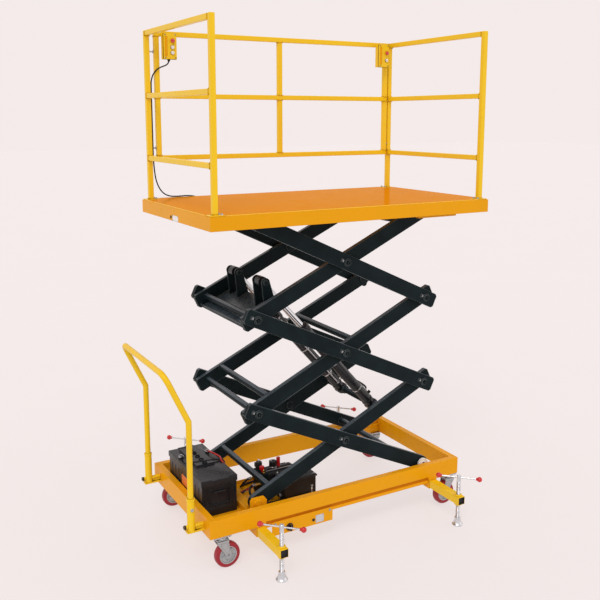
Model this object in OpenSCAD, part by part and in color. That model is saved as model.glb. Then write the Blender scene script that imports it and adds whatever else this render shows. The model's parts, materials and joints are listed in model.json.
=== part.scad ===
// Mobile scissor lift table with three scissor stages, a guard rail on three sides,
// battery hydraulic power unit, push handle, swivel castors and four screw-jack outriggers.
// Origin: on the floor under the middle of the whole machine. +X runs from the handle
// end to the far end, -Y is the open loading side, +Z is up. Drawn fully raised.

/* [Platform] */
// Length of the deck
deck_l = 1855; // [1845:1:1865]
// Width of the deck
deck_w = 1050; // [1040:1:1060]
// Height of the deck surface when raised
deck_top = 2000; // [1998:1:2002]
// Depth of the deck from its surface to the underside of its skirt
deck_h = 81; // [78:1:84]

/* [Guard rail] */
// Height of the top rail above the deck
rail_h = 1000; // [950:10:1050]
// Side of the square rail tube
rail_tube = 30; // [28:1:32]
// Distance from the deck edge to the post centre
rail_inset = 42; // [40:1:44]

/* [Scissor] */
// Distance between the end pins of one arm
arm_len = 1290; // [1288:1:1292]
// Slope of the arms when raised, in degrees
rest_angle = 25; // [24.9:0.05:25.1]
// Depth of an arm
arm_h = 90; // [86:1:92]
// Thickness of an arm
arm_t = 30; // [28:1:30]
// Radius of the scissor pins
pin_r = 20; // [18:1:20]

/* [Base] */
// Length of the base frame
base_l = 1754; // [1750:1:1758]
// Width of the base frame
base_w = 897; // [894:1:900]
// Height of the top of the base frame
base_top = 305; // [304:1:306]
// Depth of the base beams
beam_h = 107; // [106:1:108]
// Width of the base beams
beam_w = 40; // [38:1:40]

/* [Castors and outriggers] */
// Diameter of the castor wheels
wheel_d = 150; // [148:1:150]
// Distance of the wheel axle behind the swivel axis
trail = 34; // [32:1:34]
// Radius of the jack screws
screw_r = 13; // [12:0.5:13]
// Side of the square outrigger arm
outrigger_tube = 50; // [48:1:50]

/* [Push handle] */
// Radius of the handle tube
handle_r = 16.5; // [16:0.5:17]
// Distance between the two handle legs
handle_w = 704; // [700:1:710]

/* [Hidden] */
$fn = 48;

// Colours
yellow = [0.98, 0.76, 0.05];
orange = [0.93, 0.62, 0.10];
dark = [0.13, 0.18, 0.18];
black = [0.08, 0.08, 0.09];
steel = [0.75, 0.77, 0.79];
red = [0.75, 0.10, 0.10];
white = [0.92, 0.92, 0.90];
wheel_red = [0.62, 0.12, 0.16];

// Extents along the machine
deck_x0 = -815;
deck_x1 = deck_x0 + deck_l;
base_x0 = -819;
base_x1 = base_x0 + base_l;
base_bottom = base_top - beam_h;
deck_y = deck_w / 2;
base_y = base_w / 2;
sheet = 5;
plate_t = 5;
frame_top = deck_top - plate_t;
frame_bottom = deck_top - deck_h;

// Scissor pins: x of the fixed pins, z of the lowest pin, span and rise of one stage
pivot_x = -483;
pivot_z = 298;
span = arm_len * cos(rest_angle);
rise = arm_len * sin(rest_angle);
roller_x = pivot_x + span;
top_z = pivot_z + 3 * rise;
arm_end = 78;
arm_chamfer = 12;
boss = 60;
wall = 5;
outer_y = 385;
inner_y = outer_y - arm_t - 6;
inner_back = inner_y - arm_t;
run_gap = 0.06;
open_gap = 0.6;
tube_r = 20;
low_tube_s = 112;
low_tube_h = 25;
top_tube_s = 60;
mid_tube_s = 735;
mid_tube_h = 28;

// Hydraulic cylinders: barrel eye on the lowest inner arms, rod eye on the highest inner arms
cyl_y = 180;
cyl_r = 33;
rod_r = 20;
barrel_s = 985;
barrel_h = -35;
rod_s = 186;
rod_h = 104;
lug_r = 28;
lug_t = 9;
lug_half = 52;
barrel_len = 770;
rod_hidden = 100;
barrel_eye = along(pivot_z, rest_angle, barrel_s, barrel_h);
rod_eye = along(pivot_z + 2 * rise, rest_angle, rod_s, rod_h);
cyl_vec = rod_eye - barrel_eye;
cyl_dist = norm(cyl_vec);
cyl_tilt = atan2(cyl_vec[1], cyl_vec[0]);

// Side beams: height of the box above the groove, depth of the groove and of the flange under it
box_part = 86;
groove_h = 25;
groove_in = 14;
flange_h = 19;
flange_in = 8;
groove_top = base_top - box_part;
flange_top = groove_top - groove_h;

// Cross member under the fixed pivots and the trays on each side of it
member_x = [-530, -465];
member_h = 50;
tray_t = 6;
batt_tray_y = 300;
pump_tray_x1 = -20;
pump_tray_y = [-292, 92];
pump_lip = 8;

// Shelf of the lower rollers and channel of the upper rollers
track_x = [590, 880];
track_t = 8;

// Hanging switch panel
panel_x = [-432, -24];
panel_z = 114;
panel_t = 4;
panel_y = 4 - base_y;
switch_x = -318;
switch_z = 146;
switch_r = 5;

// Battery and hydraulic unit
batt_x = [-776, -548];
batt_y = [-232, 298];
batt_z = [base_bottom + 16, 436];
lid_h = 34;
tank_x = [-255, -40];
tank_y = [-275, -140];
tank_z = [base_bottom + tray_t, 345];
motor_x = [-300, -110];
motor_y = -78;
motor_z = 298;
motor_r = 56;
valve_x = [-345, -300.5];
valve_top = 350;

// Rollers
roller_r = 36;
roller_w = 18;
roller_y0 = 387.5;
roller_gap = 0.3;
axle_r = 12;

// Corners: name, x side, y side
CORNERS = [["front_left", -1, -1], ["front_right", 1, -1], ["rear_left", -1, 1], ["rear_right", 1, 1]];
castor_y = 419;
castor_in = [78, 57];
plate_half = [52, 45];
axle_z = wheel_d / 2;
wheel_w = 40;
plate_z = 190;
fork_top = plate_z - 0.4;
jack_y = 695;
jack_x = [-505, 733];
arm_top = 194;
arm_y0 = 727;
arm_y1 = 330;
sleeve_wall = 4;
tube_wall = 4;
screw_top = 326;
bar_z = 312;
bar_half = 124;
ball_r = 16;
bar_r = 5;
foot_r = 34;

// Push handle
handle_bend_z = 864;
handle_lean = 25;
handle_rise = 314;
handle_x = handle_r + handle_rise * sin(handle_lean) - deck_x1;
handle_corner = 60;
socket_r = 21.5;
socket_z0 = 236;
socket_z1 = 424;

// Control boxes: x of the left face
box_x = [-686, 868];
box_w = 80;
box_z0 = 2835;
box_h = 150;
box_d = 50;
rail_y = deck_y - rail_inset;
box_front = rail_y - rail_tube / 2 - box_d;
button_x = [-634, 926];
stop_z = 2942;
up_z = 2904;
down_z = 2872;
right_stop_z = 2928;
right_up_z = 2880;
stem_r = 5;

// Guard rail heights
rail_top = deck_top + rail_h;
mid_z = deck_top + 0.62 * rail_h;
low_z = deck_top + 0.249 * rail_h;
rail_x0 = deck_x0 + rail_inset;
rail_x1 = deck_x1 - rail_inset;
back_x0 = rail_x0 + 60;
back_x1 = rail_x1 - 38;
flange_t = 6;
notch = [rail_inset + 46, rail_inset + 32];

// Control cable: route points from the left control box down the rear post to the deck edge
cable_r = 4;
cable_sides = 8;
gland = [-378, 535, 1926];
CABLE = [
    [-650, 440, 2835], [-650.3, 440, 2826], [-652.2, 440.8, 2818.6], [-656.4, 442.4, 2810.5],
    [-662.7, 444.7, 2803.8], [-671, 447.2, 2799], [-687.5, 450.8, 2792.5], [-704.3, 455.2, 2784.5],
    [-720.3, 460.5, 2773], [-733.4, 466, 2757.5], [-743.2, 471.3, 2739], [-749.3, 475.4, 2716],
    [-751.8, 478, 2690], [-752, 479, 2600], [-752, 479, 2500], [-752, 479, 2400],
    [-752, 479, 2300], [-751, 479, 2240], [-747, 480, 2180], [-738, 484, 2122],
    [-722, 489, 2078], [-700, 495, 2044], [-671, 501, 2021], [-636, 507, 2009.5],
    [-598, 514, 2006.5], [-560, 522, 2006.5], [-524, 530, 2006], [-490, 535, 2002.5],
    [-460, 538, 1996], [-434, 539, 1986.5], [-411, 538.4, 1972], [-391.5, 537, 1957],
    [-382.8, 536.2, 1947], [-378.8, 535.2, 1937], [-378, 535, 1926]
];

// ---------- shared shapes ----------

// Point in the x-z plane at distance s along and h across an arm rising from a fixed pin at height z
function along(z, a, s, h) = [pivot_x + s * cos(a) - h * sin(a), z + s * sin(a) + h * cos(a)];

module block(x0, x1, y0, y1, z0, z1) {
    translate([min(x0, x1), y0, z0])
        cube([abs(x1 - x0), y1 - y0, z1 - z0]);
}

module y_rod(x, z, r, y0, y1) {
    translate([x, y0, z])
        rotate([-90, 0, 0])
            cylinder(r = r, h = y1 - y0);
}

// Extrudes an x-z outline from y0 to y1
module xz_plate(y0, y1) {
    translate([0, y1, 0])
        rotate([90, 0, 0])
            linear_extrude(height = y1 - y0)
                children();
}

module both_sides() {
    children();
    mirror([0, 1, 0])
        children();
}

// Outline of an arm from its first pin at the origin; a round end has radius arm_h/2
module arm_outline(round0, round1) {
    h = arm_h / 2;
    c = arm_chamfer;
    x0 = round0 ? 0 : -arm_end;
    x1 = round1 ? arm_len : arm_len + arm_end;
    polygon([
        [x0 + (round0 ? 0 : c), -h], [x1 - (round1 ? 0 : c), -h], [x1, -h + (round1 ? 0 : c)],
        [x1, h - (round1 ? 0 : c)], [x1 - (round1 ? 0 : c), h], [x0 + (round0 ? 0 : c), h],
        [x0, h - (round0 ? 0 : c)], [x0, -h + (round0 ? 0 : c)]
    ]);
    if (round0) circle(r = h);
    if (round1) translate([arm_len, 0]) circle(r = h);
}

// Places children in the frame of an inner arm (rising) of the given stage
module inner_frame(stage) {
    translate([pivot_x, 0, pivot_z + (stage - 1) * rise])
        rotate([0, -rest_angle, 0])
            children();
}

// Places children in the frame of an outer arm (falling) of the given stage
module outer_frame(stage) {
    translate([pivot_x, 0, pivot_z + stage * rise])
        rotate([0, rest_angle, 0])
            children();
}

// Box-section arm, solid only around its three pins
module hollow_arm(y0, y1, round0, round1) {
    h = arm_h / 2 - wall;
    difference() {
        xz_plate(y0, y1)
            arm_outline(round0, round1);
        for (s = [boss, arm_len / 2 + boss])
            block(s, s + arm_len / 2 - 2 * boss, y0 + wall, y1 - wall, -h, h);
    }
}

// One pair of inner arms with bores for three pins
module inner_pair(round0, round1, r0, rc, r1) {
    difference() {
        both_sides()
            hollow_arm(inner_back, inner_y, round0, round1);
        y_rod(0, 0, r0, -inner_y - 1, inner_y + 1);
        y_rod(arm_len / 2, 0, rc, -inner_y - 1, inner_y + 1);
        if (r1 > 0) y_rod(arm_len, 0, r1, -inner_y - 1, inner_y + 1);
    }
}

// Head, keeper plate and two keeper bolts of a pin on the outside of an outer arm
module pin_head(s) {
    y_rod(s, 0, pin_r + 5, outer_y - 0.5, outer_y + 5);
    y_rod(s, 0, pin_r - 4, outer_y + 4, outer_y + 9);
    block(s - 46, s - 14, outer_y - 0.5, outer_y + 5, -9, 9);
    y_rod(s - 37, 0, 6, outer_y + 4, outer_y + 10);
}

// Short pin from an outer arm through the inner arm beside it
module short_pin(s) {
    y_rod(s, 0, pin_r, inner_back - 8, outer_y);
    y_rod(s, 0, pin_r + 6, inner_back - 8, inner_back - 1);
}

// Through shaft joining both outer arms across the inner arms
module through_shaft(s) {
    y_rod(s, 0, pin_r, -outer_y, outer_y);
}

// One pair of outer arms; the first pin is at the upper left
module outer_pair(round0, round1) {
    both_sides()
        hollow_arm(outer_y - arm_t, outer_y, round0, round1);
}

// Square tube along x, y or z with closed ends
module tube_x(x0, x1, y, z) {
    h = rail_tube / 2;
    closed_tube(x0, x1, y - h, y + h, z - h, z + h);
}

module tube_y(x, y0, y1, z) {
    h = rail_tube / 2;
    closed_tube(x - h, x + h, y0, y1, z - h, z + h);
}

module tube_z(x, y, z0, z1) {
    h = rail_tube / 2;
    closed_tube(x - h, x + h, y - h, y + h, z0, z1);
}

// Box section with a wall all round
module closed_tube(x0, x1, y0, y1, z0, z1) {
    w = 3;
    difference() {
        block(x0, x1, y0, y1, z0, z1);
        block(x0 + w, x1 - w, y0 + w, y1 - w, z0 + w, z1 - w);
    }
}

// ---------- base ----------

// Side beams: full depth at the ends, and a box over a groove and a flange between the outriggers
module base_side_beams() {
    xa = jack_x[0] + 32;
    xb = jack_x[1] - 32;
    y = base_y - beam_w;
    color(orange)
        both_sides() {
            closed_tube(base_x0, xa, y, base_y, base_bottom, base_top);
            closed_tube(xb, base_x1, y, base_y, base_bottom, base_top);
            closed_tube(xa, xb, y, base_y, groove_top, base_top);
            block(xa, xb, y, base_y - groove_in, flange_top, groove_top);
            closed_tube(xa, xb, y, base_y - flange_in, flange_top - flange_h, flange_top);
        }
}

// End beams, the cross member that carries the fixed pivots, the battery tray and the pump tray
module base_cross_members() {
    y = base_y - beam_w;
    z = base_bottom;
    color(orange) {
        closed_tube(base_x0, base_x0 + beam_w, -y, y, z, base_top);
        closed_tube(base_x1 - beam_w, base_x1, -y, y, z, base_top);
        closed_tube(member_x[0], member_x[1], -y, y, z, z + member_h);
        block(base_x0 + beam_w, member_x[0], -batt_tray_y, batt_tray_y, batt_z[0] - tray_t, batt_z[0]);
        block(member_x[1], pump_tray_x1, pump_tray_y[0], pump_tray_y[1], z, z + tray_t);
        for (y0 = [pump_tray_y[0] - pump_lip, pump_tray_y[1]])
            block(member_x[1], pump_tray_x1, y0, y0 + pump_lip, z, z + 30);
    }
}

// Shelves on which the lower rollers run
module roller_tracks() {
    x1 = base_x1 - beam_w;
    y1 = base_y - beam_w;
    top = pivot_z - roller_r - roller_gap;
    color(orange)
        both_sides() {
            block(track_x[0], x1, roller_y0 - 1, y1, top - track_t, top);
            block(track_x[0], x1, y1 - 14, y1, base_bottom, top - track_t);
        }
}

// Plates and pins of the fixed lower pivots
module pivot_brackets() {
    y0 = inner_y + 4;
    z = base_bottom + member_h;
    color(orange)
        both_sides() {
            xz_plate(y0, y0 + 14)
                polygon([
                    [member_x[0], z], [-425, z], [-425, pivot_z + 12], [-445, pivot_z + 36],
                    [-520, pivot_z + 36], [member_x[0], pivot_z + 20]
                ]);
            y_rod(pivot_x, pivot_z, pin_r - 2, inner_back - 6, y0 + 20);
            y_rod(pivot_x, pivot_z, pin_r + 4, y0 + 14, y0 + 19);
            block(member_x[0], -440, inner_back - 22, inner_back - 6, z, pivot_z - 24);
            block(pivot_x - 24, pivot_x + 24, inner_back - 22, inner_back - 6, pivot_z - 26, pivot_z + 24);
        }
}

// Four square sleeves under the side beams, each holding one outrigger arm
module outrigger_sleeves() {
    g = outrigger_tube / 2 + 0.5;
    o = g + sleeve_wall;
    zc = arm_top - outrigger_tube / 2;
    color(orange)
        for (x = jack_x)
            both_sides()
                difference() {
                    block(x - o, x + o, 290, base_y, zc - o, base_bottom);
                    block(x - g, x + g, 289, base_y + 1, zc - g, zc + g);
                }
}

// Small control panel hanging under the front beam with a socket and a blank plate
module switch_panel() {
    color(orange)
        difference() {
            block(panel_x[0], panel_x[1], panel_y, panel_y + panel_t, panel_z, base_bottom);
            y_rod(switch_x, switch_z, switch_r + run_gap, panel_y - 1, panel_y + panel_t + 1);
        }
    color(white)
        block(-142, -86, panel_y - 1.5, panel_y, 124, 172);
    color(black)
        y_rod(-158, 148, 8, panel_y - 4, panel_y);
}

// Rotary main switch on the hanging panel
module power_switch() {
    y = panel_y;
    color(black) {
        y_rod(switch_x, switch_z, switch_r, y - 10, y + 12);
        y_rod(switch_x, switch_z, 17, y - 10, y - 0.5);
        block(switch_x - 4, switch_x + 4, y - 24, y - 10, switch_z - 18, switch_z + 18);
        y_rod(switch_x, switch_z, 10, y + 5, y + 12);
    }
}

// Handle sockets: upright sleeves, cross rods and bracket plates welded to the end beam
module handle_sockets() {
    y = handle_w / 2;
    color(yellow)
        both_sides() {
            difference() {
                translate([handle_x, y, socket_z0])
                    cylinder(r = socket_r, h = socket_z1 - socket_z0);
                translate([handle_x, y, socket_z0 + 8])
                    cylinder(r = handle_r + 0.3, h = socket_z1);
            }
            translate([handle_x - 44, y, 258])
                rotate([0, 90, 0])
                    difference() {
                        cylinder(r = 11, h = base_x0 - handle_x + 44);
                        translate([0, 0, 24])
                            cylinder(r = 12, h = 40);
                    }
            block(handle_x - 30, base_x0, y - 22, y + 22, 226, 236);
            block(handle_x + 26, base_x0, y - 6, y + 6, 236, 248);
        }
}

// Bent tube handle with a wide grip bar
module push_handle() {
    y = handle_w / 2;
    r = handle_r;
    c = handle_corner;
    color(yellow) {
        both_sides() {
            translate([handle_x, y, socket_z0 + 8.3])
                cylinder(r = r, h = handle_bend_z - socket_z0 - 8.3);
            translate([handle_x, y, handle_bend_z])
                sphere(r = r + 0.4);
            translate([handle_x, 0, handle_bend_z])
                rotate([0, -handle_lean, 0]) {
                    translate([0, y, 0])
                        cylinder(r = r, h = handle_rise - c);
                    translate([0, y - c, handle_rise - c])
                        rotate([90, 0, 90])
                            rotate_extrude(angle = 90)
                                translate([c, 0])
                                    circle(r = r);
                }
        }
        translate([handle_x, 0, handle_bend_z])
            rotate([0, -handle_lean, 0])
                translate([0, y - c, handle_rise])
                    rotate([90, 0, 0])
                        cylinder(r = r, h = 2 * (y - c));
    }
}

// Battery case with a recessed grip in each end
module battery_box() {
    xm = (batt_x[0] + batt_x[1]) / 2;
    color(black)
        difference() {
            block(batt_x[0] + 5, batt_x[1] - 5, batt_y[0] + 5, batt_y[1] - 5, batt_z[0], batt_z[1] - lid_h);
            for (y = [batt_y[0], batt_y[1]])
                block(xm - 55, xm + 55, y - 13, y + 13, batt_z[0] + 70, batt_z[1] - 70);
        }
}

// Battery lid with vent strip and two terminal posts
module battery_lid() {
    ym = (batt_y[0] + batt_y[1]) / 2;
    color(black)
        block(batt_x[0], batt_x[1], batt_y[0], batt_y[1], batt_z[1] - lid_h, batt_z[1]);
    color(black)
        block(batt_x[0] + 55, batt_x[1] - 55, ym - 60, batt_y[1] - 40, batt_z[1], batt_z[1] + 12);
    color(steel)
        for (x = [batt_x[0] + 28, batt_x[1] - 28])
            translate([x, ym + 120, batt_z[1]])
                cylinder(r = 9, h = 20);
}

// Oil tank with a flange lip and filler cap
module hydraulic_tank() {
    color(black) {
        block(tank_x[0], tank_x[1], tank_y[0], tank_y[1], tank_z[0], tank_z[1]);
        translate([tank_x[1] - 45, (tank_y[0] + tank_y[1]) / 2, tank_z[1]])
            cylinder(r = 18, h = 14);
    }
}

// Pump motor lying along the machine behind the tank, with its relay on top
module pump_motor() {
    color(black) {
        translate([motor_x[0], motor_y, motor_z])
            rotate([0, 90, 0])
                cylinder(r = motor_r, h = motor_x[1] - motor_x[0]);
        translate([motor_x[1], motor_y, motor_z])
            rotate([0, 90, 0])
                cylinder(r = motor_r - 12, h = 16);
        block(motor_x[0] + 10, motor_x[1] - 10, motor_y - 30, motor_y + 30, tank_z[0], motor_z - 40);
        translate([-235, motor_y, motor_z + 50])
            cylinder(r = 24, h = 46);
    }
    color(red)
        translate([-197, motor_y, motor_z + 50])
            cylinder(r = 12, h = 62);
}

// Manifold between tank and motor with solenoid and brass fittings
module valve_block() {
    color(dark)
        block(valve_x[0], valve_x[1], motor_y - 62, motor_y + 50, tank_z[0], valve_top);
    color(black)
        translate([valve_x[0] + 22, motor_y + 18, valve_top])
            cylinder(r = 19, h = 50);
    color([0.75, 0.6, 0.25])
        translate([valve_x[0], motor_y - 40, 285])
            rotate([0, -90, 0])
                cylinder(r = 10, h = 34);
    color(steel)
        translate([valve_x[1], motor_y - 110, 232])
            rotate([0, -90, 0])
                cylinder(r = 22, h = 110);
    color(steel)
        block(-400, -310, motor_y - 112, motor_y - 60, tank_z[0], 232);
}

// Red emergency lowering knob on the manifold
module lowering_knob() {
    color(red) {
        translate([-326, motor_y - 30, 350.5])
            cylinder(r = 5, h = 24);
        translate([-326, motor_y - 30, 370])
            cylinder(r = 14, h = 20);
    }
}

// ---------- castors ----------

// x of the swivel axis at the handle end (side -1) or the far end (side 1)
function castor_x(side) = side < 0 ? base_x0 + castor_in[0] : base_x1 - castor_in[1];

// Welded mounting plates and bolts under the beam ends
module castor_plates() {
    color(steel)
        for (side = [-1, 1])
            both_sides()
                block(castor_x(side) - plate_half[0], castor_x(side) + plate_half[0], castor_y - plate_half[1],
                    base_y - 1, plate_z, base_bottom);
}

// Swivel head, crown and two legs of one castor, with its axle bolt
module castor_fork(c) {
    leg = wheel_w / 2 + 3;
    color(steel)
        translate([castor_x(c[1]), c[2] * castor_y, 0])
            mirror([c[1] > 0 ? 1 : 0, 0, 0]) {
                translate([0, 0, fork_top - 12])
                    cylinder(r = 30, h = 12);
                block(-34, 38, -leg - 5, leg + 5, fork_top - 20, fork_top - 12);
                both_sides()
                    xz_plate(leg, leg + 5) {
                        polygon([
                            [-34, fork_top - 13], [38, fork_top - 13], [trail + 18, axle_z + 18],
                            [trail + 18, axle_z], [trail - 18, axle_z]
                        ]);
                        translate([trail, axle_z])
                            circle(r = 18);
                    }
                y_rod(trail, axle_z, 8, -leg - 12, leg + 12);
                both_sides()
                    y_rod(trail, axle_z, 12, leg + 5, leg + 11);
            }
}

// Wheel: tread, rim and hub with a plain bore on the fork's axle bolt
module castor_wheel(c) {
    h = wheel_w / 2;
    r = wheel_d / 2;
    x = castor_x(c[1]) - c[1] * trail;
    translate([x, c[2] * castor_y, axle_z])
        rotate([90, 0, 0]) {
            color(wheel_red)
                rotate_extrude($fn = 72)
                    polygon([
                        [52, -h], [r - 6, -h], [r, -h + 6], [r, h - 6], [r - 6, h], [52, h]
                    ]);
            color(steel)
                rotate_extrude($fn = 72)
                    polygon([
                        [8.06, -h - 2], [22, -h - 2], [22, -h + 10], [44, -h + 10], [46, -h], [52, -h],
                        [52, h], [46, h], [44, h - 10], [22, h - 10], [22, h + 2], [8.06, h + 2]
                    ]);
        }
}

// ---------- outriggers ----------

// Square arm with a threaded nut block near its open outer end
module outrigger_arm(c) {
    x = jack_x[c[1] < 0 ? 0 : 1];
    h = outrigger_tube / 2;
    w = tube_wall;
    color(yellow)
        mirror([0, c[2] < 0 ? 1 : 0, 0])
            difference() {
                block(x - h, x + h, arm_y1, arm_y0, arm_top - 2 * h, arm_top);
                block(x - h + w, x + h - w, jack_y + 22, arm_y0 + 1, arm_top - 2 * h + w, arm_top - w);
                block(x - h + w, x + h - w, arm_y1 - 1, jack_y - 22, arm_top - 2 * h + w, arm_top - w);
                translate([x, jack_y, 0])
                    cylinder(r = screw_r + run_gap, h = 400);
            }
}

// Foot pad with a socket for the end of the screw
module jack_foot(c) {
    color(steel)
        translate([jack_x[c[1] < 0 ? 0 : 1], c[2] * jack_y, 0])
            rotate_extrude()
                polygon([
                    [0, 0], [foot_r, 0], [foot_r, 7], [foot_r - 4, 10], [screw_r + 6, 40], [screw_r + 6, 52],
                    [screw_r + run_gap, 52], [screw_r + run_gap, 22], [0, 22]
                ]);
}

// Jack screw with its turning bar and two ball ends
module jack_screw(c) {
    translate([jack_x[c[1] < 0 ? 0 : 1], c[2] * jack_y, 0]) {
        color(steel) {
            translate([0, 0, 22.4])
                cylinder(r = screw_r, h = screw_top - 22.4);
            translate([0, 0, bar_z])
                rotate([0, 90, -45])
                    translate([0, 0, -bar_half])
                        cylinder(r = bar_r, h = 2 * bar_half);
        }
        color(red)
            translate([0, 0, bar_z])
                rotate([0, 90, -45])
                    for (s = [-1, 1])
                        translate([0, 0, s * bar_half])
                            sphere(r = ball_r);
    }
}

// ---------- scissor ----------

module inner_arms_1() {
    color(dark)
        inner_frame(1) {
            inner_pair(true, false, pin_r - 2 + run_gap, pin_r + run_gap, pin_r + open_gap);
            y_rod(low_tube_s, low_tube_h, tube_r, -inner_back, inner_back);
            y_rod(barrel_s, barrel_h, tube_r, -inner_back, inner_back);
            for (y = [-cyl_y, cyl_y], s = [-1, 1])
                translate([0, y + s * (lug_half + lug_t / 2), 0])
                    barrel_lug();
        }
}

// Collar plate that locates a barrel eye on the cross tube
module barrel_lug() {
    xz_plate(-lug_t / 2, lug_t / 2)
        translate([barrel_s, barrel_h])
            circle(r = lug_r);
}

module inner_arms_2() {
    color(dark)
        inner_frame(2) {
            inner_pair(false, false, pin_r + run_gap, pin_r + run_gap, pin_r + open_gap);
            y_rod(low_tube_s, low_tube_h, tube_r, -inner_back, inner_back);
            y_rod(mid_tube_s, mid_tube_h, tube_r, -inner_back, inner_back);
        }
}

// Highest inner arms with the plate and lugs that take the push of the cylinders
module inner_arms_3() {
    color(dark)
        inner_frame(3) {
            inner_pair(false, true, pin_r + run_gap, pin_r + run_gap, 0);
            block(-60, 190, -inner_back, inner_back, -arm_h / 2, -arm_h / 2 + 10);
            block(-60, -52, -inner_back, inner_back, -arm_h / 2, -arm_h / 2 + 24);
            for (y = [-cyl_y, cyl_y], s = [-1, 1])
                translate([0, y + s * (lug_half + lug_t / 2), 0])
                    rod_lug(s);
            both_sides()
                y_rod(arm_len, 0, axle_r, inner_back, roller_y0 + roller_w + 1);
            y_rod(arm_len - 150, 0, tube_r, -inner_back, inner_back);
        }
}

// Rounded lug plate with a stub pin that ends short of the rod eye
module rod_lug(side) {
    xz_plate(-lug_t / 2, lug_t / 2) {
        polygon([[110, -arm_h / 2 + 9], [190, -arm_h / 2 + 9], [rod_s + lug_r, rod_h], [rod_s - lug_r, rod_h]]);
        translate([rod_s, rod_h])
            circle(r = lug_r);
    }
    y_rod(rod_s, rod_h, 15, side > 0 ? -16 : -lug_t / 2 - 6, side > 0 ? lug_t / 2 + 6 : 16);
}

module outer_arms_1() {
    color(dark)
        outer_frame(1) {
            outer_pair(false, true);
            through_shaft(0);
            both_sides() {
                pin_head(0);
                pin_head(arm_len / 2);
                short_pin(arm_len / 2);
                y_rod(arm_len, 0, axle_r, outer_y - 1, roller_y0 + roller_w + 2.5);
            }
            y_rod(arm_len - 160, 0, tube_r, -outer_y + arm_t, outer_y - arm_t);
        }
}

module outer_arms_2() {
    color(dark)
        outer_frame(2) {
            outer_pair(false, false);
            through_shaft(0);
            both_sides() {
                pin_head(0);
                pin_head(arm_len / 2);
                short_pin(arm_len / 2);
                pin_head(arm_len);
                short_pin(arm_len);
            }
        }
}

module outer_arms_3() {
    color(dark)
        outer_frame(3) {
            difference() {
                outer_pair(true, false);
                y_rod(0, 0, pin_r - 2 + run_gap, -outer_y - 1, outer_y + 1);
            }
            both_sides() {
                pin_head(arm_len / 2);
                short_pin(arm_len / 2);
                pin_head(arm_len);
                short_pin(arm_len);
            }
            y_rod(top_tube_s, 0, tube_r, -outer_y + arm_t, outer_y - arm_t);
        }
}

// A roller with a plain bore at the given pin
module roller(x, z, r) {
    difference() {
        y_rod(x, z, r, roller_y0, roller_y0 + roller_w);
        y_rod(x, z, axle_r + run_gap, roller_y0 - 1, roller_y0 + roller_w + 1);
    }
}

module lower_rollers() {
    color(white)
        both_sides()
            roller(roller_x, pivot_z, roller_r);
}

module upper_rollers() {
    color(white)
        both_sides()
            roller(roller_x, top_z, roller_r - 4);
}

// Places children at the barrel eye with +X along the cylinder axis
module cylinder_frame(y) {
    translate([barrel_eye[0], y, barrel_eye[1]])
        rotate([0, -cyl_tilt, 0])
            children();
}

// Both barrels with their eyes, glands, ports and oil pipes
module cylinder_barrels() {
    color(black)
        for (y = [-cyl_y, cyl_y])
            cylinder_frame(y)
                difference() {
                    union() {
                        y_rod(0, 0, 38, -24, 24);
                        translate([20, 0, 0])
                            rotate([0, 90, 0])
                                cylinder(r = cyl_r, h = barrel_len - 20);
                        translate([barrel_len - 46, 0, 0])
                            rotate([0, 90, 0])
                                cylinder(r = cyl_r + 5, h = 46);
                        translate([70, 0, -cyl_r - 16])
                            cylinder(r = 10, h = 30);
                    }
                    y_rod(0, 0, tube_r + run_gap, -30, 30);
                    translate([barrel_len - 440, 0, 0])
                        rotate([0, 90, 0])
                            cylinder(r = rod_r + run_gap, h = 500);
                }
}

// Both rods with a flat-sided eye at the upper end
module cylinder_rods() {
    color(steel)
        for (y = [-cyl_y, cyl_y])
            cylinder_frame(y)
                difference() {
                    union() {
                        translate([barrel_len - rod_hidden, 0, 0])
                            rotate([0, 90, 0])
                                cylinder(r = rod_r, h = cyl_dist - barrel_len + rod_hidden - 10);
                        y_rod(cyl_dist, 0, 30, -26, 26);
                    }
                    y_rod(cyl_dist, 0, 15.5, -30, 30);
                }
}

// ---------- deck ----------

// Smooth top plate, notched at the corners around the post flanges
module deck_plate() {
    color(orange)
        difference() {
            block(deck_x0, deck_x1, -deck_y, deck_y, frame_top, deck_top);
            for (sx = [0, 1])
                both_sides()
                    block(sx == 0 ? deck_x0 - 1 : deck_x1 - notch[0], sx == 0 ? deck_x0 + notch[0] : deck_x1 + 1,
                        deck_y - notch[1], deck_y + 1, frame_top - 1, deck_top + 1);
        }
}

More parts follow.
